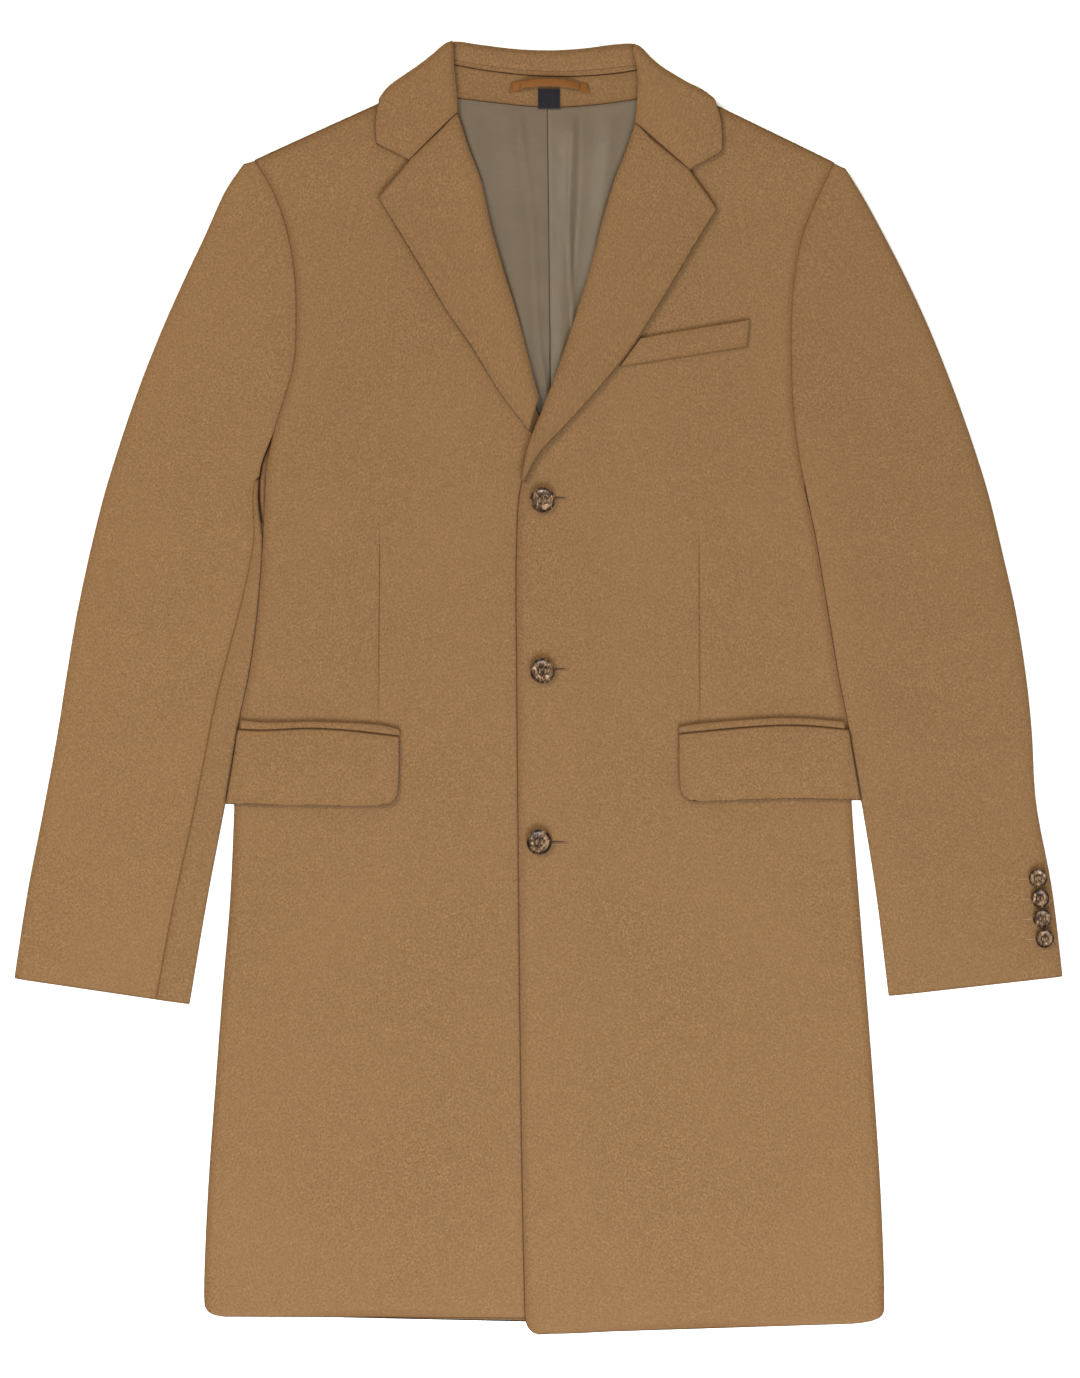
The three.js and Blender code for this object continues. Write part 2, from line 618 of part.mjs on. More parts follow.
const LINING_MARGIN = 7;     // how far the lining runs on under the fronts
const LINING_TOP = 463.6;
const LINING_FOOT = 196;
const LAP_START = 216;       // below this the fronts cross
function lining(part) {
  const { sign, front: line } = outline[part];
  const rows = Array.from({ length: 11 }, (_, i) => {
    const t = i / 10;
    const level = mix(LINING_TOP, LINING_FOOT, t);
    const seamX = mix(7, 10, t);
    const frontX = level > LAP_START ? lineX(line, Math.min(level, 455)) : seamX * 0.5;
    const outerX = frontX + sign * LINING_MARGIN;
    const startX = sign > 0 ? Math.max(outerX, seamX + 6) : Math.min(outerX, seamX - 6);
    return Array.from({ length: 4 }, (_, j) => {
      const x = mix(startX, seamX + sign * GAP / 2, j / 3);
      const y = mix(levelOn(FACING_SEAM, x) - GAP, LINING_FOOT, t);
      return [x, y, onBack(LINING, INSIDE_GAP)(y)];
    });
  });
  return sheet(rows, LINING);
}

// ---------- pockets ----------
function pocketPiece(part, rowsXY, thickness) {
  const rows = rowsXY.map((row) => row.map(([x, y]) =>
    [x, y, frontMid(part, x, y) + CLOTH / 2 + FLAP_STAND + thickness / 2]));
  return sheet(rows, thickness);
}

function spanColumns(outer, inner) {
  const width = Math.abs(inner - outer);
  return columns(width, 7).map((t) => mix(outer, inner, t));
}

// how far down the flap each row lies, and how much its rounded corner is cut back there
const FLAP_PROFILE = [[0, 0], [0.3, 0], [0.6, 0.2], [0.82, 1], [0.93, 3.6], [0.985, 8], [1, 13]];
function flap(part) {
  const { sign, seam } = outline[part];
  const { mouth, hem } = POCKETS[part];
  const rows = FLAP_PROFILE.map(([v, cut]) => {
    const end = FLAP_INNER[part] + sign * cut;
    const outerY = mix(mouth[0][1], hem[0][1], v);
    const start = lineX(seam, outerY) - sign * FLAP_CLEAR;
    return spanColumns(start, end).map((x) => [x, mix(levelOn(mouth, x) - GAP, levelOn(hem, x), v)]);
  });
  return pocketPiece(part, rows, FLAP_CLOTH);
}

function jet(part) {
  const { top, mouth } = POCKETS[part];
  const xs = spanColumns(...JET_ENDS[part]);
  const rows = [0, 1].map((v) => xs.map((x) => [x, mix(levelOn(top, x), levelOn(mouth, x), v)]));
  return pocketPiece(part, rows, TRIM);
}

function welt() {
  const [topInner, lowInner, topOuter, lowOuter] = WELT;
  const rows = [0, 0.5, 1].map((v) => Array.from({ length: 5 }, (_, j) =>
    mix2(mix2(topInner, topOuter, j / 4), mix2(lowInner, lowOuter, j / 4), v)));
  return pocketPiece('left', rows, TRIM);
}

// ---------- loop, label, buttons ----------
function hangerLoop() {
  const count = 9;
  const rows = Array.from({ length: count }, (_, i) => {
    const u = i / (count - 1);
    const bow = Math.sin(Math.PI * u);
    const [x, level] = mix2(LOOP.from, LOOP.to, u);
    const y = level + LOOP.arch * bow;
    const z = onBack(TRIM, LOOP.air)(y) + LOOP.rise * smooth(0.2, 0.68, bow);
    return [-1, 1].map((side) => [x, y + side * LOOP.half, z]);
  });
  return sheet(rows, TRIM);
}

function solidOf(geometry) {
  const bare = geometry.clone();
  bare.deleteAttribute('normal');
  bare.deleteAttribute('uv');
  const merged = mergeVertices(bare, 1e-5);
  return new wasm.Manifold(new wasm.Mesh({
    numProp: 3,
    vertProperties: new Float32Array(merged.attributes.position.array),
    triVerts: new Uint32Array(merged.index.array),
  }));
}

function geometryOf(solid) {
  const mesh = solid.getMesh();
  const geometry = new THREE.BufferGeometry();
  geometry.setAttribute('position', new THREE.BufferAttribute(mesh.vertProperties, 3));
  geometry.setIndex(new THREE.BufferAttribute(mesh.triVerts, 1));
  return geometry;
}

// a dished four-hole button, its underside at height 0
function button({ radius, height, hole, spread }) {
  const profile = [[0, 0], [radius * 0.7, 0], [radius, height * 0.45], [radius * 0.94, height],
    [radius * 0.72, height * 0.92], [radius * 0.55, height * 0.6], [0, height * 0.5]];
  const disc = new THREE.LatheGeometry(profile.map(([r, z]) => new THREE.Vector2(r, z)), 16);
  disc.rotateX(Math.PI / 2);
  let solid = solidOf(disc);
  for (let k = 0; k < 4; k++) {
    const drill = new THREE.CylinderGeometry(hole, hole, height * 4, 6);
    drill.rotateX(Math.PI / 2);
    const angle = Math.PI / 4 + k * Math.PI / 2;
    drill.translate(Math.cos(angle) * spread, Math.sin(angle) * spread, 0);
    solid = solid.subtract(solidOf(drill));
  }
  return outward(geometryOf(solid));
}

// ---------- the coat ----------
for (const part of ['right', 'left']) {
  add(`back_${part}`, back(part));
  add(`front_${part}`, front(part));
  const arm = sleeve(part, part === 'right');
  add(`sleeve_top_${part}`, arm.upper);
  add(`sleeve_under_${part}`, arm.lower);
  add(`lapel_${part}`, lapel(part));
  add(`flap_${part}`, flap(part));
  add(`jet_${part}`, jet(part));
  add(`lining_${part}`, lining(part), SATIN, 0.45);
}
add('collar', collar());
// the stand bends down over the collar's fold at its top
const STAND_BEND = 3.8;
const standHeight = (y, t) => onBack(CLOTH, 2 * GAP)(y) - STAND_BEND * (1 - quarter(t / 0.3));
const standTop = NECK_TOP.map(([x, y]) => [x, y - STAND_BACK]);
const standSteps = [0, 0.06, 0.15, 0.3, 1];
add('collar_stand', neckBand(standTop, STAND_SEAM, STAND_ENDS, standHeight, CLOTH, 13, standSteps));
const belowStand = STAND_SEAM.map(([x, y]) => [x, y - GAP]);
const facingHeight = onBack(TRIM, INSIDE_GAP);
add('neck_facing', neckBand(belowStand, FACING_SEAM, FACING_ENDS, facingHeight, TRIM, 13, [0, 0.5, 1]));
add('hanger_loop', hangerLoop(), TAN, 0.35);
const labelHeight = onBack(LINING, INSIDE_GAP + TRIM + GAP);
const [labelTop, labelFoot] = [LABEL.top, LABEL.foot].map((y) => [[-1, y], [8, y], [18, y]]);
const label = neckBand(labelTop, labelFoot, LABEL.span, labelHeight, LINING, 2, [0, 1]);
add('neck_label', label, NAVY, 0.7);
add('breast_welt', welt());
FRONT_BUTTONS.forEach(([x, y], i) => {
  const piece = add(`button_${i + 1}`, button(BUTTON), HORN, 0.3);
  piece.position.set(x, y, frontMid('left', x, y) + CLOTH / 2 + BUTTON.shank);
});
CUFF_BUTTONS.forEach(([x, y], i) => {
  const piece = add(`cuff_button_${i + 1}`, button(CUFF_BUTTON), HORN, 0.3);
  piece.position.set(x, y, SLEEVE + CLOTH / 2 + CUFF_BUTTON.shank);
});

// the origin is the middle of the coat's base
const bounds = new THREE.Box3().setFromObject(coat, true);
coat.position.set(-(bounds.min.x + bounds.max.x) / 2, -(bounds.min.y + bounds.max.y) / 2, -bounds.min.z);
coat.updateMatrixWorld(true);

export default coat;
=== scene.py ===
"""A single-breasted camel overcoat laid flat on its back: cloth shells, trimmings, buttons and finishes."""
import math

import bpy
import numpy as np
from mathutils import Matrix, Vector


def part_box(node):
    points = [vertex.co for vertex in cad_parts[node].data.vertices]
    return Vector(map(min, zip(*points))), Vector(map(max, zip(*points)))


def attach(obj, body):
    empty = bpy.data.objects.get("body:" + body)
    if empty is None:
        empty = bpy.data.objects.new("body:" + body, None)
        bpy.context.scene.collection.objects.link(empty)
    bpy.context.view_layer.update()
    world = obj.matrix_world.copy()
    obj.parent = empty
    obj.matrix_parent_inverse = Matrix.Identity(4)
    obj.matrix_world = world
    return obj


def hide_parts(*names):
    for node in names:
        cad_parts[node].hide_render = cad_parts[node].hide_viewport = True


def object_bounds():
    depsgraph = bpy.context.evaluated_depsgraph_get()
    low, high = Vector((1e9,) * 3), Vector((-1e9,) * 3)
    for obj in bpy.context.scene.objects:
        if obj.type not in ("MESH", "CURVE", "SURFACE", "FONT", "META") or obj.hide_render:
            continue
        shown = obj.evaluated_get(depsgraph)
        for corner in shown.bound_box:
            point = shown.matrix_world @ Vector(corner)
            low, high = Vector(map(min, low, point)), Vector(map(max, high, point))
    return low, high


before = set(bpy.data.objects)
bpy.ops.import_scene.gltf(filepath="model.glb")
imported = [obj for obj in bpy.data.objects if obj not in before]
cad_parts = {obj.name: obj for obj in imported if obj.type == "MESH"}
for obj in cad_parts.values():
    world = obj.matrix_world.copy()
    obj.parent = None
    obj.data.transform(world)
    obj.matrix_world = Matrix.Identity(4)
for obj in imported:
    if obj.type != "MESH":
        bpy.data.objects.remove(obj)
cad_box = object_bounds()

MM = 0.001

# ---------- the coat's own sizes, in millimetres, as in its construction ----------
CLOTH = 2.0                  # how thick each cloth is
LAPEL_CLOTH = 3.0
COLLAR_CLOTH = 2.6
FLAP_CLOTH = 2.4
TRIM = 1.2
LINING = 1.0
LABEL_CLOTH = 0.6
GAP = 0.4                    # air between two layers or two inside pieces
LOW = CLOTH / 2              # middle of the cloth above the floor: of the layer underneath,
BODY = 5.0                   # of the fronts,
SLEEVE = 6.4                 # of a sleeve's upper side,
RIM = 3.4                    # and of all upper cloth at the outline, from which it rounds up over the widths below
ROUND = 13.0
SIDE_ROUND = 5.0
CLOTH_RIM = 0.9              # how deeply the edge of each cloth is rounded, and where it is sewn
COLLAR_RIM = FLAP_RIM = 1.1
LAPEL_RIM = 1.2
SATIN_RIM = 0.4
SEWN_RIM = 0.25
INNER_RADIUS = 1.7           # the inner fold of a sleeve lies lower than the side of the body beside it
SEAM = 0.14                  # air between two sewn edges
NECK_LIFT = 3.8              # everything rises towards the neck, over the fold of the collar
NECK_RAMP = (368, 432)
LAP_RISE = 2.6               # the left front lies this much higher over the right one
LAP_RAMP = (27, 62)
LAP_TOP = (228, 285)
ARM_WRAP = 3.4               # how far the piece that turns round a sleeve's inner edge goes: at the armpit,
WRAP = 22                    # below it, and what is added towards the cuff
CUFF_WRAP = 5
LAPEL_STAND = 1.2
FLAP_STAND = 0.9
INSIDE_GAP = 0.45
CENTRE_BACK = 4
NECK_CENTRE = 483
BACK_HEM = -503
COLLAR_DIP = -20             # how far the collar's edge hangs down behind the neck
ARMPIT = 8                   # the sleeve row at the armpit
ARM_OPENING = 4.8            # the dark gap between the right sleeve and the side, below the armpit
FINE = 5                     # grid rows here for each one of the construction's

# a row per section of a sleeve, from the shoulder to the cuff: x, y of the armhole seam, then of the inner edge,
# and x, y of the outer edge
SLEEVES = {
    "right": [
        (-224, 415, -232, 412.5), (-211.3, 394.2, -247, 391), (-200.3, 365.8, -264, 354),
        (-193.2, 329.4, -281.5, 317), (-191.6, 293.1, -297, 282), (-193.2, 256.8, -311.5, 246),
        (-200.3, 229.9, -323, 214), (-209.4, 200, -333.5, 182), (-216.4, 163, -344, 147),
        (-217.9, 114, -354.5, 104), (-222, 59, -365, 54), (-228.3, 12, -373, 6), (-236.5, -28, -379.5, -36),
        (-247, -90, -390.5, -96), (-261.9, -169, -403.5, -163), (-275.8, -251.5, -414, -231)],
    "left": [
        (233.5, 413, 241.5, 409), (222, 389, 258, 383), (209.5, 358, 278, 346), (203, 325, 294, 314),
        (200.3, 290, 309, 281), (200.3, 250, 324, 244), (201.5, 221, 334, 217), (205, 190, 345, 185),
        (211, 155, 356, 149), (219, 117, 366, 107), (228.7, 59, 377, 58), (237, 8, 385, 8),
        (244.2, -29, 389.5, -35), (255, -90, 393, -92), (267, -165, 405.5, -160), (276.8, -245, 414, -229.5)],
}
# the side of the body from where it leaves the sleeve's inner edge, then the hem corner
SIDES = {
    "right": [(-236.4, -27), (-238, -44), (-240, -90), (-243.6, -169), (-249.5, -240), (-255.5, -320), (-260.8, -395),
              (-263.8, -460), (-264.1, -484), (-263.4, -490.5), (-260.8, -494.2), (-256, -496.4), (-249, -497.7)],
    "left": [(244.1, -28), (245.6, -44), (247.2, -90), (253.2, -169), (258.8, -240), (265, -320), (270, -395),
             (272.8, -460), (273.2, -486), (272.8, -494.8), (270.2, -498.2), (265, -500.5), (256.5, -502.4),
             (248, -503.2)],
}
# the inner line of each front: neck point, beside the roll line, then the front edge down to the hem
FRONT_LINES = {
    "right": [(-80, 480.5), (-68, 455), (-58, 425), (-50, 399), (-43, 367), (-33.5, 332), (-22.5, 295),
              (-13, 258), (-2.8, 222), (15, 190), (22.5, 150), (22.5, 100), (22.5, 20), (22.5, -100),
              (22.5, -240), (22.5, -395), (22.5, -488), (22, -494), (19.5, -497.6), (14, -498.8)],
    "left": [(90, 482.5), (83, 455), (75, 425), (65, 399), (55.5, 367), (45.5, 328), (33, 288), (20.8, 251),
             (8, 218), (-3.5, 190), (-14.6, 155), (-17.6, 100), (-17.4, 20), (-16.4, -100), (-15, -240),
             (-13, -395), (-11.2, -478), (-10.6, -498), (-8.8, -505), (-5.2, -509.4), (0, -511.3)],
}
LAPELS = {
    "right": dict(
        roll=[(-64.5, 452), (-55.5, 424), (-46.2, 399.7), (-39.1, 367.4), (-29.3, 332), (-18, 295.5),
              (-8.3, 258.6), (-0.4, 226)],
        edge=[(-127.2, 385.5), (-113, 362), (-99.9, 340.5), (-86, 317.5), (-73.1, 295.5), (-51.7, 264.7),
              (-32, 233), (-7, 200.5)],
        notch=(-102.1, 414.7)),
    "left": dict(
        roll=[(77, 444.2), (70.4, 424), (60.8, 399.7), (51, 366.6), (41.2, 328.6), (28.4, 287.9),
              (16.2, 251.6), (3.4, 217.5), (-7.6, 190), (-13.9, 163)],
        edge=[(141.6, 376.6), (127, 353), (112, 328), (96, 301.5), (79.8, 275.7), (64.4, 254.4),
              (39.1, 224.4), (17, 200.5), (1.2, 183.3), (-10.9, 161)],
        notch=(119.6, 407.2)),
}
# each leaf of the collar: its roll from the gorge up, the notch and tip, the free edge up to the shoulder, and the
# outline of the fold over the shoulder from the roll outwards
COLLAR_LEAVES = {
    "right": dict(
        roll=[(-64.4, 452.3), (-65.2, 466), (-66.8, 480), (-68.2, 494), (-68.8, 503.5)],
        notch=(-102.1, 414.9), tip=(-128.2, 427.2),
        free=[(-128.2, 427.2), (-128.8, 438), (-127.6, 449), (-123.4, 460)],
        fold=[(-68.2, 509.8), (-73.4, 507.9), (-83.6, 499.4), (-93.1, 491.9), (-102.7, 485.2), (-112.3, 478.7),
              (-119.2, 473), (-123.6, 465.5)]),
    "left": dict(
        roll=[(76.7, 444.3), (78.2, 460), (79.4, 474), (79, 488), (76.6, 501)],
        notch=(119.4, 407.2), tip=(145.4, 422),
        free=[(145.4, 422), (145, 434), (142.6, 446), (137, 456)],
        fold=[(75.4, 507.6), (81, 504.9), (89, 496.4), (98.3, 488.9), (107.9, 483), (117.5, 477.3), (128.2, 472),
              (137.2, 464.6)]),
}
# the top of the collar across the back, and the two ends of the stand, seen from inside
NECK_TOP = [(-71, 508.8), (-66, 509.2), (-45.3, 506.3), (-18.5, 503.1), (8.3, 502), (35.2, 503.5), (60, 506.7),
            (73, 507.4), (79, 506.6)]
STAND_SEAM = [(-70, 491.8), (-45.3, 487.1), (-18.5, 483.7), (8.3, 481.6), (40.8, 482.4), (61.9, 484.4), (81, 487.5)]
FACING_SEAM = [(-70, 465.4), (-33.8, 461), (-0.3, 457.8), (17.9, 457.6), (50.5, 460.1), (83, 464.6)]
# each hip pocket, from the side seam inwards: the jet's upper edge, the edge it shares with the flap, the flap's hem
POCKETS = {
    "right": dict(
        top=[(-236.5, -26), (-216.5, -27.9), (-181.4, -27.4), (-155.1, -28.1), (-125.2, -30), (-109, -33.6)],
        mouth=[(-239, -34), (-216.5, -34.6), (-181.4, -33.2), (-154, -34.4), (-109, -39.4)],
        hem=[(-248, -93), (-199, -94.1), (-150, -94.6), (-125, -94.6), (-109, -94.4)]),
    "left": dict(
        top=[(242.5, -27.6), (213.9, -25), (188.1, -24.5), (151.3, -26.8), (121.8, -29.6), (110.2, -31.8)],
        mouth=[(244.5, -34), (213.9, -31.2), (188.1, -30.8), (140.2, -34.4), (110.2, -37.4)],
        hem=[(254, -90.2), (223, -89.4), (197, -89), (168, -89.9), (123.6, -91.4), (110, -91.8)]),
}
# across each flap: its inner end, then its outer end at the mouth and at the hem
FLAPS = {"right": (-109.6, -236, -246), "left": (110.4, 243, 252.6)}
# how far the flap's inner end is cut back, from its mouth down to its rounded corner
FLAP_PROFILE = [(0, 0), (0.3, 0), (0.6, 0.2), (0.82, 1), (0.93, 3.6), (0.985, 8), (1, 13)]
# across each jet: its outer and its inner end
JETS = {"right": (-235.6, -109.2), "left": (242.2, 110.2)}
JOIN = 0.05                  # air between a jet and its flap
WELT = [(80.3, 275.4), (63.6, 252.4), (167.2, 290), (165, 268.2)]
LOOP_ENDS = (-22.5, 40), (472.6, 471.6)
LABEL = (-0.4, 17), (471.5, 456)
DARTS = {
    "right": dict(x=-126.6, top=149, bottom=-28, lean=1.6),
    "left": dict(x=127.6, top=144, bottom=-26, lean=-0.6),
}
SIGN = {"right": -1, "left": 1}


# ---------- curves and heights ----------
def mix(a, b, t):
    return a + (b - a) * t


def smooth(a, b, x):
    t = np.clip((np.asarray(x, float) - a) / (b - a), 0, 1)
    return t * t * (3 - 2 * t)


def quarter(d):
    return np.sqrt(1 - (1 - np.clip(d, 0, 1)) ** 2)


def lift(y):
    return NECK_LIFT * smooth(*NECK_RAMP, y)


def through(points, count):
    """count points, evenly spaced in rows, on the centripetal curve through the given ones."""
    p = np.asarray(points, float)
    p = np.vstack([2 * p[0] - p[1], p, 2 * p[-1] - p[-2]])
    s = np.linspace(0, len(points) - 1, count)
    k = np.minimum(s.astype(int), len(points) - 2)
    w = (s - k)[:, None]
    a, b, c, d = (p[k + i] for i in range(4))
    d0, d1, d2 = (np.maximum(np.linalg.norm(v, axis=1) ** 0.5, 1e-4)[:, None] for v in (b - a, c - b, d - c))
    t1 = ((b - a) / d0 - (c - a) / (d0 + d1) + (c - b) / d1) * d1
    t2 = ((c - b) / d1 - (d - b) / (d1 + d2) + (d - c) / d2) * d1
    return b + t1 * w + (-3 * b + 3 * c - 2 * t1 - t2) * w ** 2 + (2 * b - 2 * c + t1 + t2) * w ** 3


def run_of(line):
    """The length of a line up to each of its points."""
    return np.concatenate([[0], np.linalg.norm(np.diff(line, axis=0), axis=1).cumsum()])


def aside(points, distance):
    """The line moved sideways, to its left for a positive distance."""
    way = np.gradient(points, axis=0)
    way /= np.linalg.norm(way, axis=1)[:, None]
    return points + np.stack([-way[:, 1], way[:, 0]], 1) * distance


def line_x(line, y):
    return np.interp(-np.asarray(y, float), -line[:, 1], line[:, 0])


ARM_ROWS = 2 * ARMPIT * FINE
SLEEVE_ROWS = 30 * FINE
SIDE_ROWS = 20 * FINE
SPLIT = 8                    # the point of each front line that faces the armpit
SPAN = 40                    # fine steps between two points of a front line


def by_length(line, count):
    """The line's points at even lengths, closer together over its last 30 mm."""
    far = run_of(line)
    places = np.concatenate([np.linspace(0, far[-1] - 30, count - 21), np.linspace(far[-1] - 30, far[-1], 22)[1:]])
    return np.stack([np.interp(places, far, values) for values in line.T], 1)


outline = {}
for part in ("right", "left"):
    seam, edge = ([row[k:k + 2] for row in SLEEVES[part]] for k in (0, 2))
    whole = through(FRONT_LINES[part], SPAN * (len(FRONT_LINES[part]) - 1) + 1)
    upper = np.stack([np.interp(np.linspace(0, SPAN * SPLIT, ARM_ROWS + 1), np.arange(len(whole)), values)
                      for values in whole.T], 1)
    outline[part] = dict(
        seam=through(seam, SLEEVE_ROWS + 1),
        edge=through(edge, SLEEVE_ROWS + 1),
        side=by_length(through(seam[ARMPIT:ARMPIT + 4] + SIDES[part], 601), SIDE_ROWS + 1),
        front=np.vstack([upper[:-1], by_length(whole[SPAN * SPLIT:], SIDE_ROWS + 1)]))

# soft troughs pressed into the cloth: (from x, y, to x, y, half width, depth), ridges are negative
TROUGHS = {
    "front_right": [
        (-214, 150, -150, 92, 16, 0.9), (-212, 118, -168, 30, 20, 0.7), (-96, 205, -70, 60, 34, 0.5),
        (-231, -6, -150, -14, 14, 0.6), (-40, -60, -58, -330, 40, 0.6), (-150, -130, -172, -400, 46, 0.8),
        (-206, -170, -222, -440, 26, -0.6), (-95, -250, -110, -480, 30, -0.5), (-190, 330, -130, 250, 24, 0.5),
        (-60, 150, -50, 40, 20, -0.4),
    ],
    "front_left": [
        (209, 148, 150, 96, 16, 0.9), (214, 110, 176, 20, 22, 0.8), (236, 10, 160, -8, 15, 0.8),
        (80, 190, 62, 40, 34, 0.5), (60, -60, 84, -340, 40, 0.7), (168, -130, 190, -420, 46, 0.8),
        (222, -160, 240, -450, 24, -0.6), (120, -260, 126, -490, 30, -0.5), (186, 340, 128, 214, 26, 0.5),
        (10, -160, 12, -300, 14, 0.5),
    ],
    "sleeve_top_right": [
        (-226, 250, -262, 170, 26, 0.8), (-238, 120, -300, 60, 24, 0.7), (-250, 20, -330, -10, 20, 0.9),
        (-352, 60, -300, 20, 16, -0.6), (-300, -60, -366, -96, 26, 0.7), (-330, -160, -372, -214, 22, 0.4),
        (-246, 330, -258, 260, 22, -0.5),
    ],
    "sleeve_top_left": [
        (232, 250, 266, 170, 26, 0.8), (246, 110, 306, 50, 24, 0.8), (262, 0, 340, -24, 20, 0.9),
        (366, 70, 310, 30, 16, -0.6), (300, -70, 372, -110, 26, 0.7), (330, -170, 376, -206, 20, 0.4),
        (252, 340, 262, 270, 22, -0.5),
    ],
    "lapel_right": [(-88, 392, -40, 290, 16, 0.5)],
    "lapel_left": [(100, 384, 52, 280, 16, 0.5)],
    "back_right": [(-180, 150, -120, -60, 26, -0.5), (-60, 200, -50, -260, 34, -0.5)],
    "back_left": [(180, 150, 120, -60, 26, -0.5), (60, 200, 56, -260, 34, -0.5)],
}


def pressed(name, x, y):
    """How far the soft troughs of a panel lower it at each point."""
    total = np.zeros(np.shape(x))
    for x0, y0, x1, y1, half, depth in TROUGHS.get(name, []):
        way = np.array([x1 - x0, y1 - y0], float)
        length = np.hypot(*way)
        way /= length
        along = ((x - x0) * way[0] + (y - y0) * way[1]) / length
        bow = 0.06 * length * np.sin(np.pi * np.clip(along, 0, 1))
        off = (x - x0) * -way[1] + (y - y0) * way[0] - bow
        fade = smooth(-0.25, 0.3, along) * smooth(1.25, 0.7, along)
        total += depth * fade * np.exp(-(off / half) ** 2)
    return total


def front_mid(part, x, y):
    """The mid height of a front at each point."""
    x, y = np.asarray(x, float), np.asarray(y, float)
    side, seam, front = (outline[part][k] for k in ("side", "seam", "front"))
    armpit = side[0][1]
    inward = np.where(y < armpit, (line_x(side, y) - x) * SIGN[part], SIDE_ROUND)
    settle = smooth(armpit, armpit - 25, y)
    tip, neck = seam[0], front[0]
    slope = (neck[1] - tip[1]) / (neck[0] - tip[0])
    below = (tip[1] + slope * (x - tip[0]) - y) / math.hypot(1, slope)
    rounded = np.minimum(quarter(below / ROUND), mix(1, quarter(inward / SIDE_ROUND), settle))
    z = mix(RIM, BODY, rounded) + lift(y)
    if part == "left":
        z = z + LAP_RISE * (1 - smooth(*LAP_RAMP, x)) * (1 - smooth(*LAP_TOP, y))
    return z


# ---------- cloth shells ----------
def middle_of(node):
    low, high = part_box(node)
    return (low + high) / 2


TOP_BUTTON = (3.2, 146.9)    # where the tables have the top button's middle, to move them into the frame
SHIFT = np.array([*(middle_of("button_1").xy), 0]) / MM - (*TOP_BUTTON, 0)


def unit(v):
    return v / np.maximum(np.linalg.norm(v, axis=-1, keepdims=True), 1e-9)


def grid_line(knots, counts):
    """Parameters through the knots, with counts[i] even steps between each two."""
    out = [knots[0]]
    for a, b, n in zip(knots[:-1], knots[1:], counts):
        out.extend(a + (b - a) * (k + 1) / n for k in range(n))
    return np.array(out)


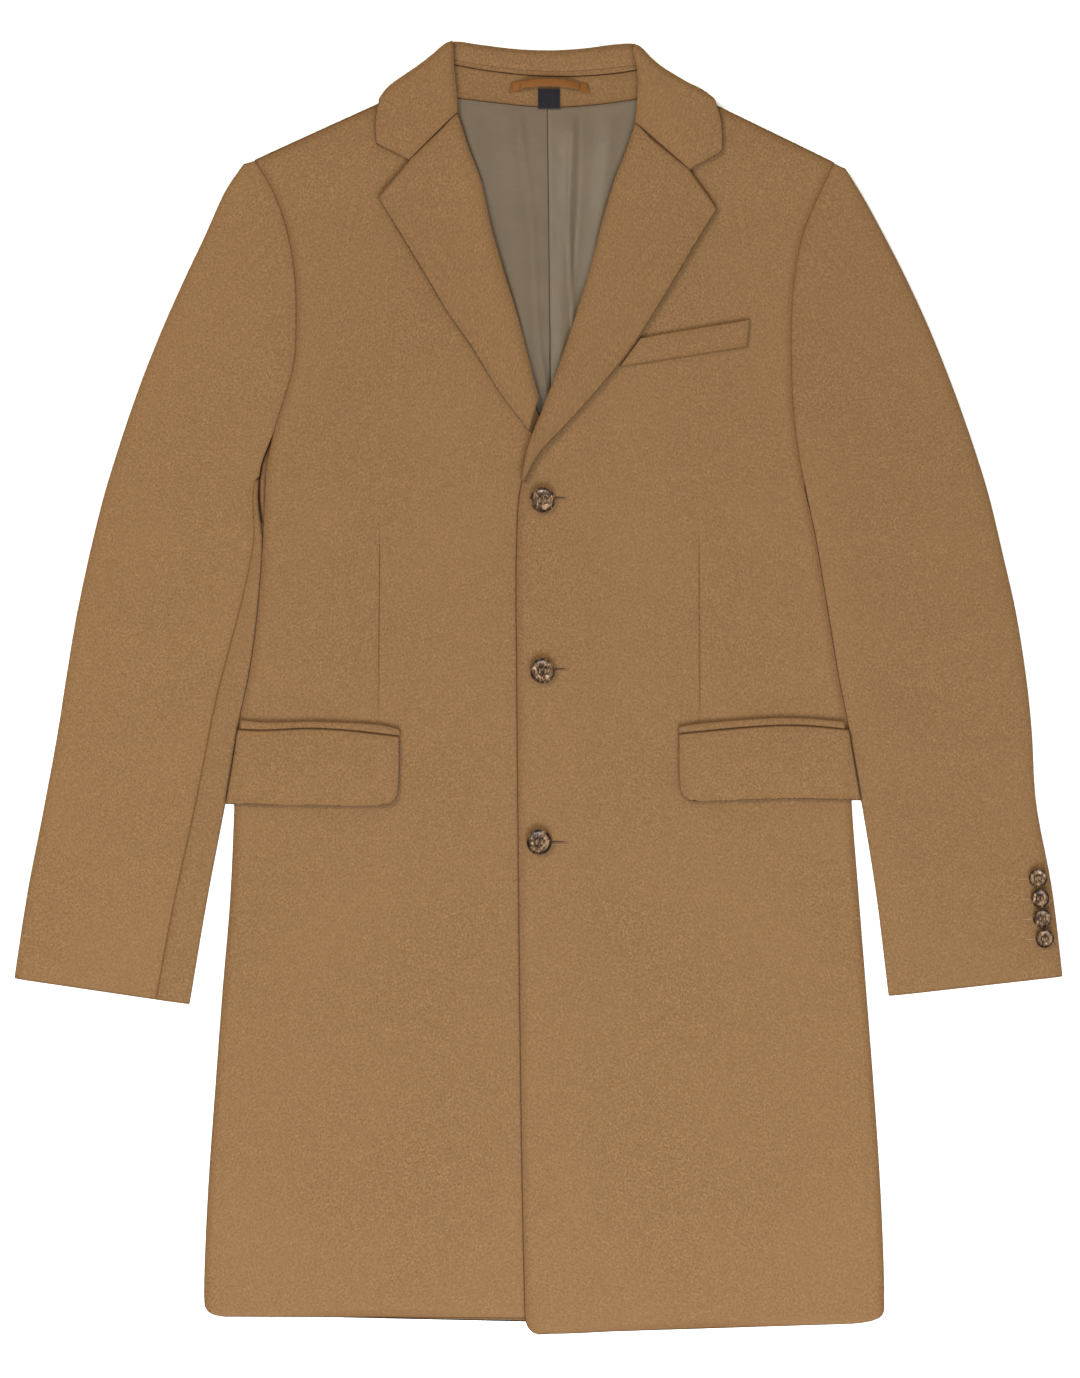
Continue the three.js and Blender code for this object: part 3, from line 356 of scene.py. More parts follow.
def shell(name, points, thick, rim=None, sewn=None):
    """A closed cloth shell round the x, y and z of a grid of mid points, its rim rounded, and nearly square where
    it is sewn."""
    grid = np.stack(points, -1) + SHIFT
    m, n, _ = grid.shape
    normal = unit(np.cross(np.gradient(grid, axis=1), np.gradient(grid, axis=0)))
    ring = ([(0, j) for j in range(n)] + [(i, n - 1) for i in range(1, m)]
            + [(m - 1, j) for j in range(n - 2, -1, -1)] + [(i, 0) for i in range(m - 2, 0, -1)])
    ri, rj = (np.array(v) for v in zip(*ring))
    edge, up = grid[ri, rj], normal[ri, rj]
    inner = grid[np.clip(ri, 1, m - 2), np.clip(rj, 1, n - 2)]
    tangent = unit(np.roll(edge, -1, 0) - np.roll(edge, 1, 0))
    out = unit(np.cross(tangent, up))
    out *= np.sign((out * (edge - inner)).sum(-1, keepdims=True) + 1e-12)
    for corner in (0, n - 1, n + m - 2, 2 * n + m - 3):
        out[corner] = out[corner - 1] + out[(corner + 1) % len(ring)]
    radius = np.full((len(ring), 1), thick / 2 if rim is None else rim)
    if sewn is not None:
        radius[sewn[ri, rj]] = SEWN_RIM
    heart = edge - out * radius
    top, low = grid + normal * thick / 2, grid - normal * thick / 2
    top[ri, rj] = heart + up * thick / 2
    low[ri, rj] = heart - up * thick / 2
    arcs = [heart + out * radius * math.sin(a) + up * thick / 2 * math.cos(a)
            for a in (math.pi / 4, math.pi / 2, 3 * math.pi / 4)]
    verts = np.vstack([top.reshape(-1, 3), low.reshape(-1, 3), *arcs]) * MM
    idx = np.arange(m * n).reshape(m, n)
    quads = np.stack([idx[:-1, :-1], idx[1:, :-1], idx[1:, 1:], idx[:-1, 1:]], -1).reshape(-1, 4)
    around = ri * n + rj
    size = m * n
    loops = [around, *[2 * size + k * len(ring) + np.arange(len(ring)) for k in range(3)], around + size]
    faces = [quads, quads[:, ::-1] + size]
    for a, b in zip(loops[:-1], loops[1:]):
        faces.append(np.stack([a, np.roll(a, -1), np.roll(b, -1), b], -1))
    faces = np.vstack(faces)
    p = verts[faces]
    volume = (p[:, 0] * np.cross(p[:, 1], p[:, 2]) + p[:, 0] * np.cross(p[:, 2], p[:, 3])).sum()
    if volume < 0:
        faces = faces[:, ::-1]
    mesh = bpy.data.meshes.new(f"{name}_cloth")
    mesh.from_pydata(verts.tolist(), [], faces.tolist())
    # where each point lies on the flat cloth, in metres, and how far it is from the cut edge, in mm
    u = np.concatenate([np.zeros((m, 1)), np.linalg.norm(np.diff(grid, axis=1), axis=-1).cumsum(1)], 1) * MM
    v = np.concatenate([np.zeros((1, n)), np.linalg.norm(np.diff(grid, axis=0), axis=-1).cumsum(0)], 0) * MM
    flat = np.stack([u, v], -1).reshape(-1, 2)
    flat = np.vstack([flat, flat, *[flat[around]] * 3])
    layer = mesh.uv_layers.new(name="cloth")
    corner = np.empty(len(mesh.loops), int)
    mesh.loops.foreach_get("vertex_index", corner)
    layer.data.foreach_set("uv", flat[corner].ravel())
    near = np.minimum(np.minimum(u, u[:, -1:] - u), np.minimum(v, v[-1:, :] - v)).ravel() / MM
    near = np.concatenate([near, near, *[np.zeros(len(ring))] * 3])
    mesh.attributes.new("from_edge", "FLOAT", "POINT").data.foreach_set("value", near)
    mesh.polygons.foreach_set("use_smooth", [True] * len(mesh.polygons))
    mesh.update()
    piece = bpy.data.objects.new(f"{name}_cloth", mesh)
    bpy.context.scene.collection.objects.link(piece)
    return piece


# ---------- the body ----------
EDGE_ROLL, EDGE_DROP = 7.0, 0.9            # the front edge and the hem settle a little towards their cut edge
EDGE_STEPS = [0, 0.5, 1.4, 2.8, 4.5, 8, 13]
SHOULDER_ROWS = [0, 0.04, 0.1, 0.2, 0.35, 0.55, 0.8]
HEM_ROWS = [0.6, 0.25, 0]
DART_STEPS = (-2.6, -1.3, -0.6, 0, 0.6, 1.3, 2.6)
DART_DEEP, DART_WIDE = 0.9, 0.8
STITCH_ROW = 13                            # the soft line of the facing's stitches inside the left front edge


def body_outline(part):
    seam, side = outline[part]["seam"], outline[part]["side"]
    return aside(np.vstack([seam[:ARM_ROWS], side]), SIGN[part] * -SEAM / 2)


def dart_groove(part, x, y):
    dart = DARTS[part]
    t = (y - dart["bottom"]) / (dart["top"] - dart["bottom"])
    line = dart["x"] + dart["lean"] * np.clip(t, 0, 1)
    depth = smooth(-0.01, 0.04, t) * smooth(1.02, 0.72, t)
    fall = smooth(-0.35, 0.1, t) * smooth(1.2, 0.6, t)
    return depth * (DART_DEEP * np.exp(-((x - line) / DART_WIDE) ** 2)) + fall * 0.35 * np.exp(-((x - line) / 9) ** 2)


def beside_seam(d):
    """How far cloth sinks at a distance from a seam: a narrow groove in a wider, softer one."""
    return 0.55 * np.exp(-d / 1.3) + 0.5 * np.exp(-d / 5)


def front(part):
    outer, inner = body_outline(part), outline[part]["front"]
    name, dart = f"front_{part}", DARTS[part]
    picks = np.concatenate([SHOULDER_ROWS, np.arange(1, len(outer) - 1), len(outer) - 1 - np.array(HEM_ROWS)])
    low = picks.astype(int).clip(max=len(outer) - 2)
    w = (picks - low)[:, None]
    o, n = mix(outer[low], outer[low + 1], w), mix(inner[low], inner[low + 1], w)
    rows = []
    for a, b in zip(o, n):
        width = np.hypot(*(b - a))
        across = abs(dart["x"] + dart["lean"] / 2 - a[0]) / abs(b[0] - a[0]) * width
        knots = EDGE_STEPS + [across + d for d in DART_STEPS] + [width - d for d in (7, 4.5, 2.6, 1.2, 0.5, 0)]
        rows.append(grid_line(knots, [1] * 6 + [12] + [1] * 6 + [30] + [1] * 5) / width)
    t = np.array(rows)[..., None]
    x, y = np.moveaxis(mix(o[:, None], n[:, None], t), -1, 0)
    width = np.hypot(*(n - o).T)[:, None]
    from_front = (1 - t[..., 0]) * width
    hem = np.abs(y - y[-1:]).clip(0, 60)
    z = front_mid(part, x, y) - pressed(name, x, y) - dart_groove(part, x, y)
    z -= smooth(ARM_ROWS + 4, ARM_ROWS - 6, picks)[:, None] * beside_seam(t[..., 0] * width)
    z -= EDGE_DROP * (1 - quarter(from_front / EDGE_ROLL)) * smooth(230, 180, y)
    z -= EDGE_DROP * (1 - quarter(hem / EDGE_ROLL)) * smooth(-470, -490, y)
    if part == "left":
        z -= 0.5 * np.exp(-((from_front - STITCH_ROW) / 6) ** 2) * smooth(190, 140, y)
    sewn = np.zeros(x.shape, bool)
    sewn[:, 0] = picks < ARM_ROWS
    return shell(name, (x, y, z), CLOTH, rim=CLOTH_RIM, sewn=sewn)


def under_arm(y):
    """How far the right sleeve hangs away from the side below the arm, leaving a narrow dark opening."""
    return ARM_OPENING * smooth(206, 172, y) * smooth(108, 156, y)


def back(part):
    outer, neck = body_outline(part), outline[part]["front"][0]
    side_x = outer[:, 0].copy()
    if part == "right":
        outer[:, 0] -= under_arm(outer[:, 1]) + 1.5 * smooth(0, 0.5, under_arm(outer[:, 1]))
    centre = CENTRE_BACK + SIGN[part] * SEAM / 2
    t = np.linspace(0, 1, len(outer))[:, None]
    s = grid_line([0, 0.01, 0.03, 0.06, 0.97, 1], [1, 1, 1, 30, 2])[None]
    x = mix(outer[:, :1], centre, s)
    reach = np.clip((x - outer[0, 0]) / (neck[0] - outer[0, 0]), 0, 1)
    top = mix(outer[0, 1], neck[1], reach) + (NECK_CENTRE - neck[1]) * smooth(neck[0], centre, x)
    fade = 1 - smooth(0, 0.42, t)
    y = outer[:, 1:] + (top - outer[0, 1]) * fade + (BACK_HEM - outer[:, 1:]) * s * smooth(0.9, 1, t)
    piece = shell(f"back_{part}", (x, y, LOW + lift(y) + 0 * x), CLOTH, rim=CLOTH_RIM)
    if part == "right":
        # the strip of the back seen through the opening is marked -1, so that its finish paints it in deep shade,
        # standing for the dark of the seam
        for point, value in zip(piece.data.vertices, piece.data.attributes["from_edge"].data):
            px, py = point.co.x / MM - SHIFT[0], point.co.y / MM - SHIFT[1]
            if 100 < py < 212 and px < np.interp(py, outer[::-1, 1], side_x[::-1]) - 0.3:
                value.value = -1
    return piece


# ---------- sleeves ----------
SEAM_SLOPE, FOLD_SLOPE = 25, 19            # over these widths a sleeve comes down to the armhole and to its fold


def opened(inner, edge):
    out = edge - inner
    out /= np.linalg.norm(out, axis=1)[:, None]
    return inner + out * under_arm(inner[:, 1])[:, None]


def relieved(part, grid):
    """The sleeve's heights with its soft troughs pressed in, only where the cloth is on the upper side."""
    x, y, z = np.moveaxis(grid, -1, 0)
    upper = smooth(LOW + 2, LOW + 2 * INNER_RADIUS + 0.6, z - lift(y))
    return z - upper * pressed(f"sleeve_top_{part}", x, y)


def sleeve(part, wrap_over):
    """The upper and lower piece of a sleeve. wrap_over: the lower one turns up round the inner edge to a seam
    on the upper side, as on the right sleeve; else the upper one turns down, as on the left."""
    edge, inner = outline[part]["edge"], aside(outline[part]["seam"], SIGN[part] * SEAM / 2)
    if wrap_over:
        inner = opened(inner, edge)
    arm = 2 * ARMPIT
    arc = np.linspace(0, math.pi, 9)
    upper, lower = [], []
    for i, (start, end) in enumerate(zip(edge, inner)):
        coarse, below = i / FINE, i >= ARM_ROWS
        width = np.hypot(*(end - start))
        way = (end - start) / width
        wrap = mix(ARM_WRAP, WRAP, smooth(arm, arm + 7, coarse)) + CUFF_WRAP * smooth(arm + 7, 31, coarse)
        radius = mix((SLEEVE - LOW) / 2, INNER_RADIUS, smooth(ARM_ROWS - 12, ARM_ROWS, i))

        def top_z(d):
            level, inwards = mix(RIM, SLEEVE, quarter(d / ROUND)), width - d
            if below:
                fold_top = LOW + 2 * radius
                return level - (SLEEVE - fold_top) * (1 - smooth(radius, FOLD_SLOPE, inwards)) * quarter(d / ROUND)
            sink = (SLEEVE - BODY) * (1 - smooth(0, SEAM_SLOPE, inwards)) * quarter(d / ROUND)
            return level - sink - beside_seam(inwards)

        def at(d, z):
            p = start + way * d[:, None]
            return np.column_stack([p, z + lift(p[:, 1])])

        def laid(d):
            return at(d, LOW + 0 * d)

        def sunk(d):
            return at(d, top_z(d) - 0.5 * np.exp(-np.abs(d - seam_at) / 1.2))

        turn_at = width - CLOTH / 2 - radius
        seam_at = width - wrap if below else width - 2
        ring_d, ring_z = turn_at + radius * np.sin(arc), LOW + radius * (1 - np.cos(arc))
        stub = mix(seam_at, width, np.linspace(0.1, 0.9, 9))
        last = (seam_at if below else width) if wrap_over else (turn_at - 4 if below else seam_at)
        scale = min(1, last * 0.5 / EDGE_STEPS[-1])
        body = grid_line([d * scale for d in EDGE_STEPS] + [last - 1.2 * scale, last], [1] * 6 + [26, 1])
        if wrap_over and below:
            turned = np.linspace(ring_d[-1], seam_at + SEAM, 12)[1:]
            lower.append(np.vstack([laid(np.linspace(0, turn_at - 4, 14)), at(ring_d, ring_z), sunk(turned)]))
            upper.append(sunk(body))
        elif wrap_over:
            rest = np.linspace(stub[-1], width, 12)[1:]
            lower.append(laid(np.concatenate([np.linspace(0, seam_at, 14), stub, rest])))
            upper.append(at(body, top_z(body)))
        elif below:
            under = np.linspace(turn_at, seam_at, 8)[1:]
            lower.append(laid(np.linspace(0, seam_at - SEAM, 16)))
            upper.append(np.vstack([at(body, top_z(body)), at(ring_d[::-1], ring_z[::-1]), laid(under)]))
        else:
            whole = np.concatenate([body, stub, np.linspace(stub[-1], width, 8)[1:]])
            lower.append(laid(np.linspace(0, width, 16)))
            upper.append(at(whole, top_z(whole)))
    pieces = []
    for kind, rows in (("top", upper), ("under", lower)):
        grid = np.array(rows)
        grid[..., 2] = relieved(part, grid)
        sewn = np.zeros(grid.shape[:2], bool)
        sewn[:, -1] = True
        sewn[:, 0] = kind == "under"
        pieces.append(shell(f"sleeve_{kind}_{part}", np.moveaxis(grid, -1, 0), CLOTH, rim=CLOTH_RIM, sewn=sewn))
    return pieces


# ---------- lapels and collar ----------
ROLL_WIDE, ROLL_DEEP = 9, 2.4              # a lapel and a collar leaf roll down over this width by this much
ON_FRONT = CLOTH / 2 + LAPEL_STAND + LAPEL_CLOTH / 2
LAPEL_ROWS = {"right": 70, "left": 88}
LAPEL_STEPS = [0, 0.6, 1.4, 2.6, 4.2, 6.5, ROLL_WIDE]
NOTCH_AT = 0.6                             # the part of the gorge, from the roll out, that is sewn
COLLAR_T = np.unique([*grid_line([0, NOTCH_AT, 0.97, 1], [18, 10, 3]), 0.004, 0.012])


def lapel(part):
    shape, count = LAPELS[part], LAPEL_ROWS[part]
    roll, edge = through(shape["roll"], count), through(shape["edge"], count)
    width = np.hypot(*(edge - roll).T)
    rows = []
    for w in width:
        scale = min(1, w * 0.5 / ROLL_WIDE)
        rows.append(grid_line([d * scale for d in LAPEL_STEPS] + [w - 1.6 * scale, w], [1] * 6 + [22, 2]) / w)
    t = np.array(rows)
    xy = mix(roll[:, None], edge[:, None], t[..., None])
    pull = np.clip(1 - np.abs(t - NOTCH_AT) / 0.4, 0, 1) * np.clip(1 - np.arange(count) / 6, 0, 1)[:, None]
    xy = xy + pull[..., None] * (np.array(shape["notch"]) - mix(roll[0], edge[0], NOTCH_AT))
    x, y = np.moveaxis(xy, -1, 0)
    d = t * width[:, None]
    drop = ROLL_DEEP * (1 - quarter(d / ROLL_WIDE)) * np.minimum(1, width / 20)[:, None]
    swell = 0.9 * np.exp(-((d - 12) / 10) ** 2) * smooth(0, 0.3, np.arange(count) / count)[:, None]
    z = front_mid(part, x, y) + ON_FRONT - drop + swell - pressed(f"lapel_{part}", x, y)
    sewn = np.zeros(x.shape, bool)
    sewn[0] = t[0] <= NOTCH_AT
    return shell(f"lapel_{part}", (x, y, z), LAPEL_CLOTH, rim=LAPEL_RIM, sewn=sewn)


def resampled(line, u):
    return np.stack([np.interp(u * (len(line) - 1), np.arange(len(line)), values) for values in line.T], 1)


def leaf_boundaries(part):
    """The low side of a leaf from the roll by the notch to the tip, and its high side along the fold."""
    shape, t = COLLAR_LEAVES[part], COLLAR_T[:, None]
    roll, notch, tip = (np.array(p, float) for p in (shape["roll"][0], shape["notch"], shape["tip"]))
    low = np.where(t < NOTCH_AT, mix(roll, notch, t / NOTCH_AT), mix(notch, tip, (t - NOTCH_AT) / 0.4))
    fold = resampled(through(shape["fold"], 141), COLLAR_T)
    way = np.gradient(fold, axis=0)
    out = unit(np.stack([-way[:, 1], way[:, 0]], 1)) * SIGN[part]
    free = np.array(shape["free"][-1], float) - shape["free"][-2]
    out = unit(mix(out, np.array([0.0, 1.0]), smooth(0.2, 0, t)))
    return low, fold, unit(mix(out, unit(free), smooth(0.72, 1, t)))


def leaf_height(part, x, y, t, width):
    rest = front_mid(part, x, y) + ON_FRONT
    rest = np.maximum(rest, mix(rest, BODY + ON_FRONT + NECK_LIFT, smooth(430, 470, y)))
    return rest - ROLL_DEEP * (1 - quarter(t * width / ROLL_WIDE))


def leaf(part):
    shape, t = COLLAR_LEAVES[part], COLLAR_T[None, :, None]
    low, fold, out = leaf_boundaries(part)
    peak = leaf_height(part, *fold.T, COLLAR_T, np.linalg.norm(fold[-1] - fold[0]))
    high = fold - out * ((peak - COLLAR_CLOTH / 2) / 2 + COLLAR_CLOTH / 2)[:, None]
    u = grid_line([0, 0.02, 0.06, 1], [2, 3, 26])
    roll, free = (resampled(through(shape[side], 81), u) for side in ("roll", "free"))
    roll += (high[0] - roll[-1]) * (u ** 2)[:, None]
    free += (high[-1] - free[-1]) * (u ** 2)[:, None]
    u = u[:, None, None]
    corners = (1 - u) * (1 - t) * low[0] + (1 - u) * t * low[-1] + u * (1 - t) * high[0] + u * t * high[-1]
    x, y = np.moveaxis((1 - u) * low + u * high + (1 - t) * roll[:, None] + t * free[:, None] - corners, -1, 0)
    t, u = t[..., 0], u[..., 0]
    z = leaf_height(part, x, y, t, np.linalg.norm(free - roll, axis=1)[:, None])
    z = z + 0.7 * np.sin(math.pi * np.clip(t, 0, 1)) * smooth(0, 0.35, u) * smooth(1, 0.7, u)
    return np.stack([x, y, z], -1), out


def collar():
    """One ribbon: leaf on the right front, round under the back neck, leaf on the left front, with its roll."""
    bottom = COLLAR_CLOTH / 2
    sides = {}
    for part in ("right", "left"):
        grid, out = leaf(part)
        last = grid[-1]
        radius = (last[:, 2:] - bottom) / 2
        turn = [np.column_stack([last[:, :2] + out * radius * math.sin(angle),
                                 bottom + radius * (1 + math.cos(angle))])
                for angle in np.linspace(0, math.pi, 16)[1:]]
        sides[part] = np.concatenate([grid, turn])
    a, b = sides["right"][-1], sides["left"][-1]
    t = COLLAR_T[:, None]
    bend_a, bend_b = (fold[:, :2] - mix(fold[0, :2], fold[-1, :2], t) for fold in (a, b))
    top = through(NECK_TOP, 201)
    fall = []
    for u in np.linspace(0, 1, 48)[1:-1]:
        x = mix(a[0, 0], b[0, 0], u)
        near = smooth(0, 0.1, u) * smooth(1, 0.9, u)
        roll = np.array([x, mix(mix(a[0, 1], b[0, 1], u), np.interp(x, *top.T) - 2.2, near)])
        edge = mix(a[-1, :2], b[-1, :2], u) + np.array([0, COLLAR_DIP * math.sin(math.pi * u)])
        p = mix(roll, edge, t) + bend_a * smooth(0.25, 0, u) + bend_b * smooth(0.75, 1, u)
        fall.append(np.column_stack([p, np.full(len(p), bottom)]))
    grid = np.concatenate([sides["right"], fall, sides["left"][::-1]])
    sewn = np.zeros(grid.shape[:2], bool)
    sewn[0] = sewn[-1] = COLLAR_T <= NOTCH_AT
    return shell("collar", np.moveaxis(grid, -1, 0), COLLAR_CLOTH, rim=COLLAR_RIM, sewn=sewn)


# ---------- inside the neck ----------
def on_back(y, thickness, gap):
    return LOW + CLOTH / 2 + gap + thickness / 2 + lift(y)


def neck_band(name, high, low, span, height, thickness, t, rim=None):
    """A band across the back neck between two curves, with its height from a function of x, y and t."""
    t = t[:, None]
    x = np.linspace(*span, 90)[None] + 0 * t
    top, bottom = (np.interp(x, *through(line, 301).T) for line in (high, low))
    y = mix(top, bottom, t)
    return shell(name, (x, y, height(x, y, t)), thickness, rim=rim)


def under_leaf(x):
    """The stand sinks where the leaves of the collar lie over its ends."""
    return 1.5 * (np.exp(-((x + 67) / 4) ** 2) + np.exp(-((x - 78.5) / 4) ** 2))


def stand_height(x, y, t):
    """The stand bends down over the collar's fold at its top, and sinks along its stitching above the seam."""
    swell = 0.5 * np.sin(math.pi * np.clip(t / 0.8, 0, 1))
    drop = 4.0 * (1 - quarter(t / 0.30))
    stitching = 1.3 * np.exp(-((t - 0.80) / 0.022) ** 2)
    seam = 0.5 * quarter(np.clip((t - 0.93) / 0.07, 0, 1)) ** 4
    return on_back(y, CLOTH, 0.8) + swell - drop - (stitching + seam) - under_leaf(x)


def facing_height(x, y, t):
    return on_back(y, TRIM, INSIDE_GAP) + 0.9 * smooth(0.4, 0, t) * smooth(70, 50, abs(x))


# folds of the loose lining: where each starts and ends across, half width, height
LINING_FOLDS = [(-22, -8, 7, 1.6), (-40, -20, 5, -0.9), (-9, 1, 4.5, -1.0), (25, 15, 6, 1.5), (44, 26, 8, -0.8),
                (57, 33, 5, 1.0), (-54, -30, 6, 0.8), (-14, 9, 2.4, 1.8), (27, 24, 1.7, 2.0), (31, 25, 1.5, -1.2)]
LINING_TOP, LINING_LOW = 464, 196          # its height on the centre line, and where it ends under the fronts


def lining(part):
    sign, line = SIGN[part], outline[part]["front"]
    t = np.linspace(0, 1, 90)[:, None]
    s = grid_line([0, 0.96, 1], [34, 3])[None]
    seam_x = mix(7, 10, t)
    y0 = mix(LINING_TOP - GAP, LINING_LOW, t)
    outer = np.where(y0 > 216, line_x(line, np.minimum(y0, 455)), seam_x * 0.5) + sign * 7
    start = np.maximum(outer, seam_x + 6) if sign > 0 else np.minimum(outer, seam_x - 6)
    x = mix(start, seam_x + sign * GAP / 2, s)
    seam = np.interp(x, *through(FACING_SEAM, 301).T) - GAP
    y = y0 + (seam - LINING_TOP + GAP) * (1 - t)
    z = on_back(y, LINING, INSIDE_GAP)
    free = smooth(0, 0.10, t) * smooth(4, 16, np.abs(x - start)) * smooth(1.0, 0.8, t)
    for top, low, half, high in LINING_FOLDS:
        centre = mix(top, low, t) + 1.5 * np.sin(t * 9 + top)
        z = z + free * 0.75 * high * np.exp(-((x - centre) / half) ** 2)
    z = z + free * 0.22 * np.sin(y / 5.5 + x / 7) * np.exp(-((np.abs(x - seam_x) - 5) / 6) ** 2)
    z = z + 0.9 * free - 0.5 * np.exp(-((x - seam_x) / 1.6) ** 2) * free
    return shell(f"lining_{part}", (x, y, z), LINING, rim=SATIN_RIM)


# ---------- pockets ----------
def on_front(part, name, x, y, thickness, relief, lift_off=FLAP_STAND, rim=None):
    z = front_mid(part, x, y) + CLOTH / 2 + lift_off + thickness / 2 - pressed(f"front_{part}", x, y) + relief
    return shell(name, (x, y, z), thickness, rim=rim)


def level_on(points, x):
    """The y of a curve at each x."""
    line = through(points, 241)
    return np.interp(x, *line[np.argsort(line[:, 0])].T)


def flap(part):
    inner, *outer = FLAPS[part]
    pocket, sign = POCKETS[part], SIGN[part]
    v = grid_line([0, 0.05, 0.82, 0.93, 0.985, 1], [2, 12, 5, 4, 2])[:, None]
    u = grid_line([0, 0.03, 0.97, 1], [3, 30, 3])[None]
    x = mix(mix(*outer, v), inner + sign * np.interp(v, *zip(*FLAP_PROFILE)), u)

    def level(x):
        return mix(level_on(pocket["mouth"], x) - JOIN, level_on(pocket["hem"], x), v)

    beside = line_x(outline[part]["seam"], level(x)[:, :1]) - sign * 0.25
    x = x + (beside - x[:, :1]) * (1 - smooth(0, 0.12, u))
    belly = 0.9 * np.sin(math.pi * v) * np.sin(math.pi * u) ** 0.5
    curl = 0.5 * smooth(0.75, 1, v) * np.sin(2.5 * math.pi * u) ** 2
    return on_front(part, f"flap_{part}", x, level(x), FLAP_CLOTH, belly + curl, rim=FLAP_RIM)


def jet(part):
    pocket = POCKETS[part]
    u = grid_line([0, 0.03, 0.97, 1], [2, 40, 2])[None]
    v = grid_line([0, 0.2, 0.8, 1], [1, 3, 1])[:, None]
    x = mix(*JETS[part], u) + 0 * v
    y = mix(level_on(pocket["top"], x), level_on(pocket["mouth"], x) + JOIN, v)
    return on_front(part, f"jet_{part}", x, y, TRIM, 0.5 * np.sin(math.pi * v) + 0.1 * np.sin(x / 9))


def welt():
    top_in, low_in, top_out, low_out = (np.array(p, float) for p in WELT)
    u = grid_line([0, 0.02, 0.98, 1], [2, 34, 2])[None, :, None]
    v = grid_line([0, 0.06, 0.94, 1], [2, 9, 2])[:, None, None]
    xy = mix(mix(top_in, top_out, u), mix(low_in, low_out, u), v)
    puff = 0.35 * (np.sin(math.pi * v) * np.sin(math.pi * u) ** 0.4)[..., 0]
    return on_front("left", "breast_welt", *np.moveaxis(xy, -1, 0), TRIM, puff, lift_off=0.7)


# ---------- loop and label ----------
def hanger_loop():
    u = grid_line([0, 0.11, 0.2, 0.8, 0.89, 1], [6, 6, 36, 6, 6])[:, None]
    w = np.linspace(-1, 1, 9)[None]
    arch = np.sin(math.pi * u)
    half = mix(3.9, 2.9, smooth(0.07, 0.2, u) * smooth(0.93, 0.8, u))
    x = mix(*LOOP_ENDS[0], u) + 0.9 * w * np.cos(math.pi * u)
    y = mix(*LOOP_ENDS[1], u) + 4.2 * arch + w * half
    z = on_back(y, TRIM, 2) + 2.6 * smooth(0.1, 0.34, arch * 0.5) + 0.12 * np.sin(x / 3.1) * arch
    return shell("hanger_loop", (x, y, z - 0.35 * w ** 2), TRIM, rim=0.5)


def neck_label():
    x, y = np.meshgrid(np.linspace(*LABEL[0], 24), np.linspace(*LABEL[1], 20))
    return shell("neck_label", (x, y, on_back(y, LINING, INSIDE_GAP + TRIM + GAP)), LABEL_CLOTH, rim=0.3)


# ---------- finishes ----------
def new_material(name):
    material = bpy.data.materials.new(name)
    material.use_nodes = True
    tree = material.node_tree
    return material, tree, tree.nodes["Principled BSDF"]


def add(tree, kind, values=(), **settings):
    """A node with its settings, and the values of its sockets by name or number."""
    node = tree.nodes.new("ShaderNode" + kind)
    for key, value in settings.items():
        setattr(node, key, value)
    for key, value in dict(values).items():
        node.inputs[key].default_value = value
    return node


def wire(tree, *pairs):
    for a, b in pairs:
        tree.links.new(a, b)


def linear(rgb, k=1):
    """The scene-linear colour of a plain sRGB one, 0 to 255, lightened or darkened k times."""
    out = [c / 255 / 12.92 if c <= 10.31 else ((c / 255 + 0.055) / 1.055) ** 2.4 for c in rgb]
    return tuple(min(1, c * k) for c in out) + (1,)


def ramp(tree, factor, stops):
    node = add(tree, "ValToRGB")
    elements = node.color_ramp.elements
    while len(elements) < len(stops):
        elements.new(0.5)
    for element, (place, colour) in zip(elements, stops):
        element.position, element.color = place, colour
    wire(tree, (factor, node.inputs["Fac"]))
    return node.outputs["Color"]


def blended(tree, factor, a, b, mode="MIX"):
    node = add(tree, "Mix", data_type="RGBA", blend_type=mode)
    for socket, value in ((0, factor), (6, a), (7, b)):
        if isinstance(value, (int, float, tuple)):
            node.inputs[socket].default_value = value
        else:
            wire(tree, (value, node.inputs[socket]))
    return node.outputs[2]


def ranged(tree, value, low, high, out_low, out_high):
    node = add(tree, "MapRange", {"From Min": low, "From Max": high, "To Min": out_low, "To Max": out_high})
    wire(tree, (value, node.inputs["Value"]))
    return node.outputs["Result"]


def toned(tree, tone, *layers):
    """Lays colours over a tone: for each, the value that guides it, its range, how much shows at either end of the
    range, and the colour."""
    for value, low, high, at_low, at_high, colour in layers:
        tone = blended(tree, ranged(tree, value, low, high, at_low, at_high), tone, colour)
    return tone


def flecks(tree, where, scale, detail=3.0, stretch=(1, 1, 1), turn=0.0, rough=0.55, twist=0.0):
    """Noise over the cloth: scale in features a metre, stretched and turned along the nap."""
    place = add(tree, "Mapping", {"Scale": stretch, "Rotation": (0, 0, turn)})
    noise = add(tree, "TexNoise", {"Scale": scale, "Detail": detail, "Roughness": rough, "Distortion": twist})
    wire(tree, (where, place.inputs["Vector"]), (place.outputs["Vector"], noise.inputs["Vector"]))
    return noise.outputs["Fac"]


def ribs(tree, where, scale, direction, **values):
    wave = add(tree, "TexWave", {"Scale": scale, **values}, bands_direction=direction)
    wire(tree, (where, wave.inputs["Vector"]))
    return wave


def on_cloth(tree):
    """Where each point lies on the flat cloth."""
    return add(tree, "UVMap", uv_map="cloth").outputs["UV"]


def cut_edge(tree):
    """How far each point is from the cut edge, in mm."""
    return add(tree, "Attribute", attribute_name="from_edge").outputs["Fac"]


